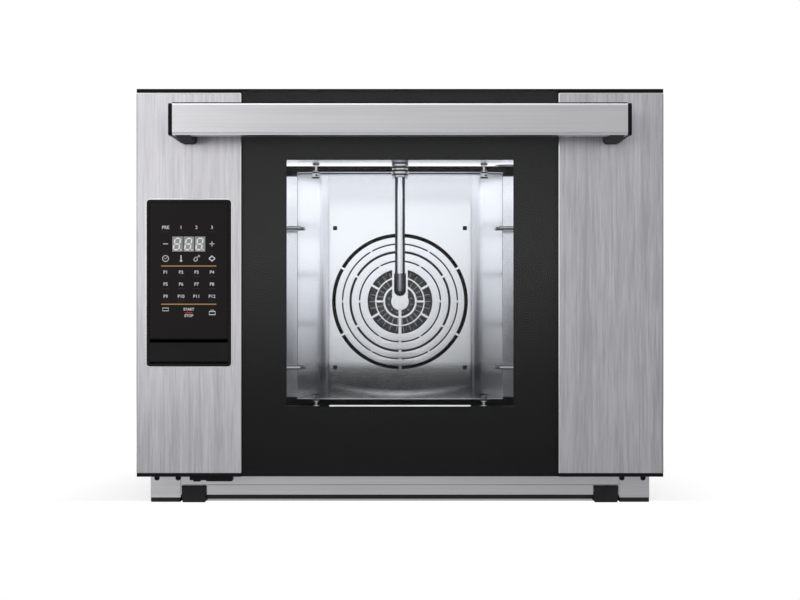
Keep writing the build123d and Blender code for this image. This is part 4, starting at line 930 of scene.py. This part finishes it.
def graded(lamp, across, *stops):
    """Grade a lamp's light by height with the stops, and towards its sides lower down."""
    lamp.data.use_nodes = True
    glow = Finish("lamp_grading", lamp.data.node_tree)
    spot = glow.node("NewGeometry", output="Parametric")
    to_right, along = glow.coordinate(spot, "X"), glow.coordinate(spot, "Y")
    aside = glow.calculate("ABSOLUTE", to_right - 0.5)
    half_width = glow.ramp(along, (0.0, 0.33), (0.35, 0.435), (0.6, 0.53)) - to_right * (1.0 - along) * 0.05
    inside = glow.ramp((half_width - aside) * 4.0 + 0.5, (0.2, 1.0 - across), (0.8, 1.0))
    to_left = glow.ramp(to_right, (0.0, 0.05), (0.5, 0.2), (0.70, 0.56), (1.0, 0.64))
    lean = 1.0 - (1.0 - along) * to_left * across
    light = glow.node("Emission", None, {"Strength": glow.ramp(along, *stops) * inside * lean})
    glow.node("OutputLight", None, {"Surface": light})


chamber_glows = (
    # name, place, side it shines to, size across and up, watts, narrowing, stops from foot to top
    ("glow_front", (0.0, -0.200, 0.2835), (0.0, 1.0, 0.0), (0.475, 0.289), 0.404, 1.0,
     ((0.0, 0.32), (0.10, 0.48), (0.18, 0.58), (0.37, 0.71), (0.47, 0.82), (0.60, 0.93), (0.84, 0.93),
      (1.0, 1.6))),
    ("glow_left", (-0.222, -0.085, 0.275), (1.0, 0.0, 0.0), (0.22, 0.29), 0.180, 0.0,
     ((0.0, 0.12), (0.12, 0.21), (0.3, 0.40), (0.5, 0.69), (0.65, 0.83), (1.0, 0.80))),
    ("glow_right", (0.222, -0.085, 0.275), (-1.0, 0.0, 0.0), (0.22, 0.29), 0.172, 0.0,
     ((0.0, 0.04), (0.12, 0.10), (0.3, 0.29), (0.5, 0.54), (0.65, 0.68), (1.0, 0.86))),
    ("glow_ceiling", (0.0, 0.186, 0.4235), (0.0, -1.0, 0.0), (0.46, 0.009), 0.026, 0.0, ()),
    ("glow_floor", (0.0, 0.186, 0.0950), (0.0, -1.0, 0.0), (0.20, 0.009), 0.009, 0.0, ()),
)
for name, place, shines, size, watts, across, stops in chamber_glows:
    glow_lamp = softbox(name, place, Vector(place) + Vector(shines), size, watts)
    glow_lamp.data.color = cool_white
    if stops:
        graded(glow_lamp, across, *stops)

# Brushed steel covers are folded round the door's columns, their grain upright. Black caps close the
# door above and below.
door_steel = brushed("door_steel", (0.66, 0.65, 0.685), 0.36, (420.0, 420.0, 18.0), (90.0, 90.0, 1.5), 0.65,
                     softness=0.1)
dress(door_steel, "left_door_cover", "right_door_cover")
soften(0.0009, "left_door_cover", "right_door_cover")

# Bright strips along the covers' folds, along the top and beside the glass, are a painted highlight.
highlight_steel = polished("highlight_steel", (0.97, 0.97, 0.98), 0.14, 400.0)
edge_steel = polished("edge_steel", (0.16, 0.16, 0.17), 0.30, 400.0)
fold_width = 0.0012
fold_lift = 0.0002
fold_back = 0.0006
left_edge_width, right_edge_width = 0.0006, 0.0009
edge_lift = 0.0001
edge_depth = 0.0010
end_gap = 0.0004
right_fold_turn = math.radians(-3.0)
fold_highlights = []
edges = []
for node, inner in (("left_door_cover", 1), ("right_door_cover", 0)):
    cover_low, cover_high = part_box(node)
    fold_x = (cover_low, cover_high)[inner].x - fold_width * inner
    fold_front, fold_rear = cover_low.y - fold_lift, cover_low.y + fold_back
    fold_highlights.append(box_mesh("fold", (cover_low.x + end_gap, fold_front, cover_high.z - fold_width),
                          (cover_high.x - 0.0002, fold_rear, cover_high.z), 0.0002))
    inner_fold = box_mesh("fold", (fold_x, fold_front, cover_low.z + end_gap),
                          (fold_x + fold_width, fold_rear, cover_high.z - fold_width), 0.0002)
    if not inner:
        bend_line = Matrix.Translation((fold_x + fold_width, fold_front, 0.0))
        inner_fold.transform(bend_line @ Matrix.Rotation(right_fold_turn, 4, "Z") @ bend_line.inverted())
    fold_highlights.append(inner_fold)
    edge_low = cover_low.x if inner else cover_high.x - right_edge_width
    edge_high = cover_low.x + left_edge_width if inner else cover_high.x
    edges.append(box_mesh("edge", (edge_low, cover_low.y - edge_lift, cover_low.z + end_gap),
                          (edge_high, cover_low.y + edge_depth, cover_high.z - fold_width), 0.0001))
place_piece("cover_fold_highlights", fold_highlights, highlight_steel, "door", "door_steel")

# A lip of the upper cap stands a little above the covers.
caps_low, caps_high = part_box("door_caps")
lip_rise = 0.0004
lip_depth = 0.0060
cap_lip = box_mesh("cap_lip", (caps_low.x, caps_low.y, caps_high.z - 0.0002),
                   (caps_high.x, caps_low.y + lip_depth, caps_high.z + lip_rise), 0.0001)
place_piece("cap_lip", cap_lip, black_plastic, "door", "black_plastic")

# The covers' outer edges are turned back, with a thin dark strip along each.
place_piece("cover_edges", edges, edge_steel, "door", "door_steel")


# The control panel is a moulded bezel in the left column, with a printed touch panel, a digit display
# behind it and a hinged cover flap below. Keys are printed; their labels are plain numbers and signs.
bezel_plastic = mottled("bezel_plastic", (40.0,), (0.004, 0.004, 0.0045), (0.008, 0.008, 0.009),
                        (1800.0, 2.0, 0.6), 0.1, 0.3, Specular_IOR_Level=0.17)
flap_plastic = mottled("flap_plastic", (40.0,), (0.006, 0.006, 0.007), (0.010, 0.010, 0.011),
                       (1800.0, 2.0, 0.6), 0.14, 0.42, (0.25, 0.0001), Specular_IOR_Level=0.2)
touch_surface = mottled("touch_surface", None, (0.0090, 0.0068, 0.0078), (0.0120, 0.0088, 0.0100),
                        (25.0, 3.0, 0.6), 0.12, 0.3, Specular_IOR_Level=0.14)
dress(bezel_plastic, "panel_bezel")
dress(flap_plastic, "panel_flap")
dress(touch_surface, "touch_panel")
dress(circuit_board, "control_board")
soften(0.0005, "panel_bezel", "panel_flap", "touch_panel")

touch_low, touch_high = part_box("touch_panel")
panel_low, panel_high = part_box("panel_bezel")
panel_middle = (panel_low.x + panel_high.x) / 2
print_front = touch_low.y - 0.00012
print_back = touch_low.y + 0.0002


def ink(name, colour, glow=0.0):
    """Silk-screened ink, very slightly uneven."""
    return mottled(name, None, tuple(value * 0.9 for value in colour), colour, (350.0,), 0.1, 0.5,
                   Specular_IOR_Level=0.2, Emission_Color=colour, Emission_Strength=glow)


white_ink = ink("white_ink", (0.72, 0.72, 0.74))
grey_ink = ink("grey_ink", (0.045, 0.042, 0.044))
gold_ink = ink("gold_ink", (0.42, 0.26, 0.09))
red_ink = ink("red_ink", (0.50, 0.02, 0.03))


def label(text, size, x, height, weight=0.0):
    """One line of printed characters, centred on a place of the panel."""
    font = bpy.data.curves.new("label", "FONT")
    font.body = text
    font.size = size
    font.align_x = "CENTER"
    font.align_y = "CENTER"
    font.extrude = (print_back - print_front) / 2
    font.offset = weight
    font.resolution_u = 3
    carrier = bpy.data.objects.new("label", font)
    mesh = bpy.data.meshes.new_from_object(carrier)
    bpy.data.objects.remove(carrier)
    middle = (print_front + print_back) / 2
    mesh.transform(Matrix.Translation((panel_middle + x, middle, panel_low.z + height)) @ facing["-Y"])
    return mesh


def stroke(points, width, x, height, closed=False):
    """A printed line of even width through points around a place of the panel."""
    corners = ((print_front, 1), (print_front, -1), (print_back, -1), (print_back, 1))
    count = len(points)
    rings = []
    for index, (px, pz) in enumerate(points):
        before = points[index - 1] if index or closed else points[index]
        after = points[(index + 1) % count] if index < count - 1 or closed else points[index]
        along = Vector((after[0] - before[0], after[1] - before[1])).normalized()
        normal = Vector((-along.y, along.x)) * (width / 2)
        rings.append([(panel_middle + x + (px + normal.x * side), y,
                       panel_low.z + height + (pz + normal.y * side)) for y, side in corners])
    return finished_mesh("stroke", skinned(rings, closed))


key_pitch = 0.0176
key_places = [(column - 1.5) * key_pitch for column in range(4)]
top_row, minus_row, icon_row = 0.1580, 0.1394, 0.1227
program_rows = (0.1070, 0.0934, 0.0795)
gold_rows = (0.1142, 0.0707)
start_row, red_row, stop_row = 0.0648, 0.0610, 0.0575
text_size, start_size = 0.0052, 0.0042
text_weight, number_weight = 0.00010, 0.00008
underline_drop, underline_width = 0.0050, 0.0004
short_line = ((-0.0042, 0.0), (0.0042, 0.0))
white_prints = []
underlines = []
key_texts = [(text, place, top_row, text_weight) for text, place in zip(("PRE", "1", "2", "3"), key_places)]
key_texts += [(f"P{row * 4 + column + 1}", place, height, number_weight)
              for row, height in enumerate(program_rows) for column, place in enumerate(key_places)]
for text, place, height, weight in key_texts:
    white_prints.append(label(text, text_size, place, height, weight))
    underlines.append(stroke(short_line, underline_width, place, height - underline_drop))

sign_half = 0.0028
sign_width = 0.0009
level_sign = ((-sign_half, 0.0), (sign_half, 0.0))
upright_sign = ((0.0, -sign_half), (0.0, sign_half))
clock = arc((0.0, 0.0), 0.0034, 0, 345)[:-1]
hands = ((-0.0014, 0.0008), (-0.0001, -0.0006), (0.0017, 0.0015))
drop = arc((-0.0010, -0.0010), 0.0020, 150, 390) + [(-0.0004, 0.0019)]
arrow_head = ((0.0018, 0.0036), (0.0035, 0.0035), (0.0036, 0.0017))
tray = ((-0.0034, 0.0016), (0.0034, 0.0016), (0.0034, -0.0016), (-0.0034, -0.0016))
lock = ((-0.0034, 0.0014), (0.0034, 0.0014), (0.0034, -0.0022), (-0.0034, -0.0022))
shackle = ((-0.0016, 0.0014), (-0.0016, 0.0030), (0.0016, 0.0030), (0.0016, 0.0014))
timer_x, warmth_x, steam_x, fan_x = key_places
lock_x = fan_x + 0.0003
icon_strokes = [
    # points, width, across, up, closed
    (level_sign, sign_width, timer_x, minus_row),
    (level_sign, sign_width, fan_x, minus_row),
    (upright_sign, sign_width, fan_x, minus_row),
    (clock, 0.0008, timer_x, icon_row, True),
    (hands, 0.0006, timer_x, icon_row),
    (((0.0, 0.0037), (0.0, -0.0018)), 0.0013, warmth_x, icon_row),
    (arc((0.0, -0.0024), 0.0008, 0, 330), 0.0013, warmth_x, icon_row, True),
    (drop, 0.0008, steam_x, icon_row, True),
    (((0.0002, 0.0004), (0.0034, 0.0034)), 0.0007, steam_x, icon_row),
    (arrow_head, 0.0007, steam_x, icon_row),
    (tray, 0.0008, timer_x, start_row, True),
    (lock, 0.0011, lock_x, red_row, True),
    (shackle, 0.0006, lock_x, red_row),
]
for turn in range(4):
    centre = (0.0019 * math.cos(math.radians(90 * turn)), 0.0016 * math.sin(math.radians(90 * turn)))
    icon_strokes.append((arc(centre, 0.0011, 90 * turn - 100, 90 * turn + 120), 0.0013, fan_x, icon_row))
white_prints += [stroke(*icon) for icon in icon_strokes]
white_prints.append(label("START", start_size, 0.0, start_row, text_weight))
white_prints.append(label("STOP", start_size, 0.0, stop_row, text_weight))
gold_line = ((-0.0314, 0.0), (0.0314, 0.0))
gold_lines = [stroke(gold_line, 0.0014, 0.0, height) for height in gold_rows]
red_line = stroke(short_line, 0.0016, 0.0, red_row)
panel_prints = (("panel_labels", white_prints, white_ink), ("key_underlines", underlines, grey_ink),
                ("gold_lines", gold_lines, gold_ink), ("red_line", red_line, red_ink))
for name, form, colour in panel_prints:
    place_piece(name, form, colour, "door", "touch_surface")

# The display is a block of three light grey cells, each with a slanted figure of seven lit bars.
display_low, display_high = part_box("digit_display")
cell_grey = mottled("display_cell", None, (0.27, 0.29, 0.285), (0.33, 0.35, 0.345), (200.0,), 0.1, 0.35)
dress(cell_grey, "digit_display")
lit_segment = ink("lit_segment", (0.80, 0.82, 0.81), 0.15)
cell_front = touch_low.y - 0.0001
cell_back = display_low.y
cell_gap = 0.0004
cell_width = (display_high.x - display_low.x) / 3
cells = []
bars = []
slant = 0.17
digit_height = 0.0128
digit_width = 0.0062
bar_width = 0.0016


def digit_bar(start, end, centre):
    """One lit bar of a figure, slanted with the rest, its ends pointed."""
    (x1, z1), (x2, z2) = start, end
    along = Vector((x2 - x1, z2 - z1)).normalized()
    across = Vector((-along.y, along.x)) * bar_width / 2
    inset = along * bar_width * 0.55
    first, last = Vector(start) + inset * 0.45, Vector(end) - inset * 0.45
    outline = (first, first + inset + across, last - inset + across, last, last - inset - across,
               first + inset - across)
    return [(centre[0] + p.x + slant * p.y, centre[1] + p.y) for p in outline]


half_x, half_z = digit_width / 2, digit_height / 2
corners = {"nw": (-half_x, half_z), "ne": (half_x, half_z), "w": (-half_x, 0.0), "e": (half_x, 0.0),
           "sw": (-half_x, -half_z), "se": (half_x, -half_z)}
figure = (("nw", "ne"), ("w", "e"), ("sw", "se"), ("w", "nw"), ("e", "ne"), ("sw", "w"), ("se", "e"))
for index in range(3):
    cell_x = display_low.x + cell_width * index
    cells.append(box_mesh("cell", (cell_x + cell_gap, cell_front, display_low.z),
                          (cell_x + cell_width - cell_gap, cell_back + 0.0001, display_high.z), 0.0002))
    centre = (cell_x + cell_width / 2 - 0.0006, (display_low.z + display_high.z) / 2)
    outlines = [digit_bar(corners[start], corners[end], centre) for start, end in figure]
    outlines.append(arc((centre[0] + half_x + 0.0011, centre[1] - half_z), 0.0008, 0, 350))
    bars += [cut_plate("bar", [outline], cell_front - 0.0001, cell_front + 0.0001) for outline in outlines]
place_piece("display_cells", cells, cell_grey, "door", "display_light")
place_piece("display_figures", bars, lit_segment, "door", "display_light")

# A near-black strip over the joint above the flap is painted shade for the groove there. The flap carries a
# raised outline for the finger, and the steel round the bezel ends in a thin rolled lip whose bright colour
# is a painted highlight.
shade_foam = mottled("painted_shade_foam", None, (0.0015, 0.0015, 0.0015), (0.004, 0.004, 0.004), (1600.0, 2.0, 0.7),
               0.05, 0.9, Specular_IOR_Level=0.0)
flap_low, flap_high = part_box("panel_flap")
shade_band = box_mesh("flap_shade_strip", (touch_low.x, touch_low.y - 0.0002, flap_high.z + 0.0004),
                (touch_high.x, touch_low.y + 0.0010, touch_low.z - 0.0004), 0.0002)
place_piece("flap_shade_strip", shade_band, shade_foam, "door", "black_plastic")
grip_low = (flap_low.x + 0.0035, flap_low.z + 0.0030)
grip_high = (flap_high.x - 0.0105, flap_high.z - 0.0045)
grip_corner, grip_line = 0.0045, 0.0005
line_low, line_high = ((corner[0] + inset, corner[1] + inset)
                       for corner, inset in ((grip_low, grip_line), (grip_high, -grip_line)))
grip_loops = [rounded_loop(grip_low, grip_high, grip_corner),
              rounded_loop(line_low, line_high, grip_corner - grip_line)]
grip_mesh = cut_plate("flap_outline", grip_loops, flap_low.y - 0.00015, flap_low.y + 0.0002)
place_piece("flap_outline", grip_mesh, flap_plastic, "panel_flap", "black_plastic")
cover_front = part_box("left_door_cover")[0].y
lip_width = 0.0016
bezel_corner = 0.0045
lip_loops = [rounded_loop((panel_low.x - lip_width, panel_low.z - lip_width),
                          (panel_high.x + lip_width, panel_high.z + lip_width), bezel_corner + lip_width),
             rounded_loop((panel_low.x, panel_low.z), (panel_high.x, panel_high.z), bezel_corner)]
bezel_lip = cut_plate("bezel_lip", lip_loops, cover_front - 0.0004, cover_front + 0.0002, 0.0002)
place_piece("bezel_lip", bezel_lip, highlight_steel, "door", "door_steel")


# The handle is a satin anodised aluminium extrusion between two moulded brackets. A black bead is
# clipped along its upper edge.
handle_metal = brushed("handle_metal", (0.77, 0.765, 0.79), 0.32, (4.0, 1100.0, 1100.0), (1.5, 50.0, 50.0),
                       -0.2)
dress(handle_metal, "handle_bar")
bar_low, bar_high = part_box("handle_bar")
side_gap = 0.0002
bead_rise = 0.0007
bead = box_mesh("handle_bead", (bar_low.x + side_gap, bar_low.y + 0.0012, bar_high.z - 0.0002),
                (bar_high.x - side_gap, bar_high.y - 0.0010, bar_high.z + bead_rise), 0.0003)
place_piece("handle_bead", bead, black_plastic, "door", "black_plastic")

# The extrusion ends below in a thin square lip, and each bracket in a web that runs up to the bar's end.
lip = box_mesh("handle_lip", (bar_low.x + side_gap, bar_low.y, bar_low.z - 0.0001),
               (bar_high.x - side_gap, bar_low.y + 0.0020, bar_low.z + 0.0010), 0.0001)
place_piece("handle_lip", lip, handle_metal, "door", "handle_metal")
bracket_low, bracket_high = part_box("handle_brackets")
web_front, web_back = bar_low.y + 0.0050, bracket_high.y - 0.012
web_inner, web_foot_outer, web_outer = (bracket_high.x - inset for inset in (0.0235, 0.0080, 0.0001))
web_low, web_high = bracket_low.z + 0.0003, bar_low.z + 0.0008
web_outline = ((web_inner, web_low), (web_foot_outer, web_low), (web_outer, web_high), (web_inner, web_high))
webs = []
for side in (-1, 1):
    front_ring = [(side * x, web_front, max(z, bar_low.z - 0.0002)) for x, z in web_outline]
    back_ring = [(side * x, web_back, z) for x, z in web_outline]
    webs.append(finished_mesh("web", skinned([front_ring, back_ring])))
place_piece("bracket_webs", webs, black_plastic, "door", "black_plastic")
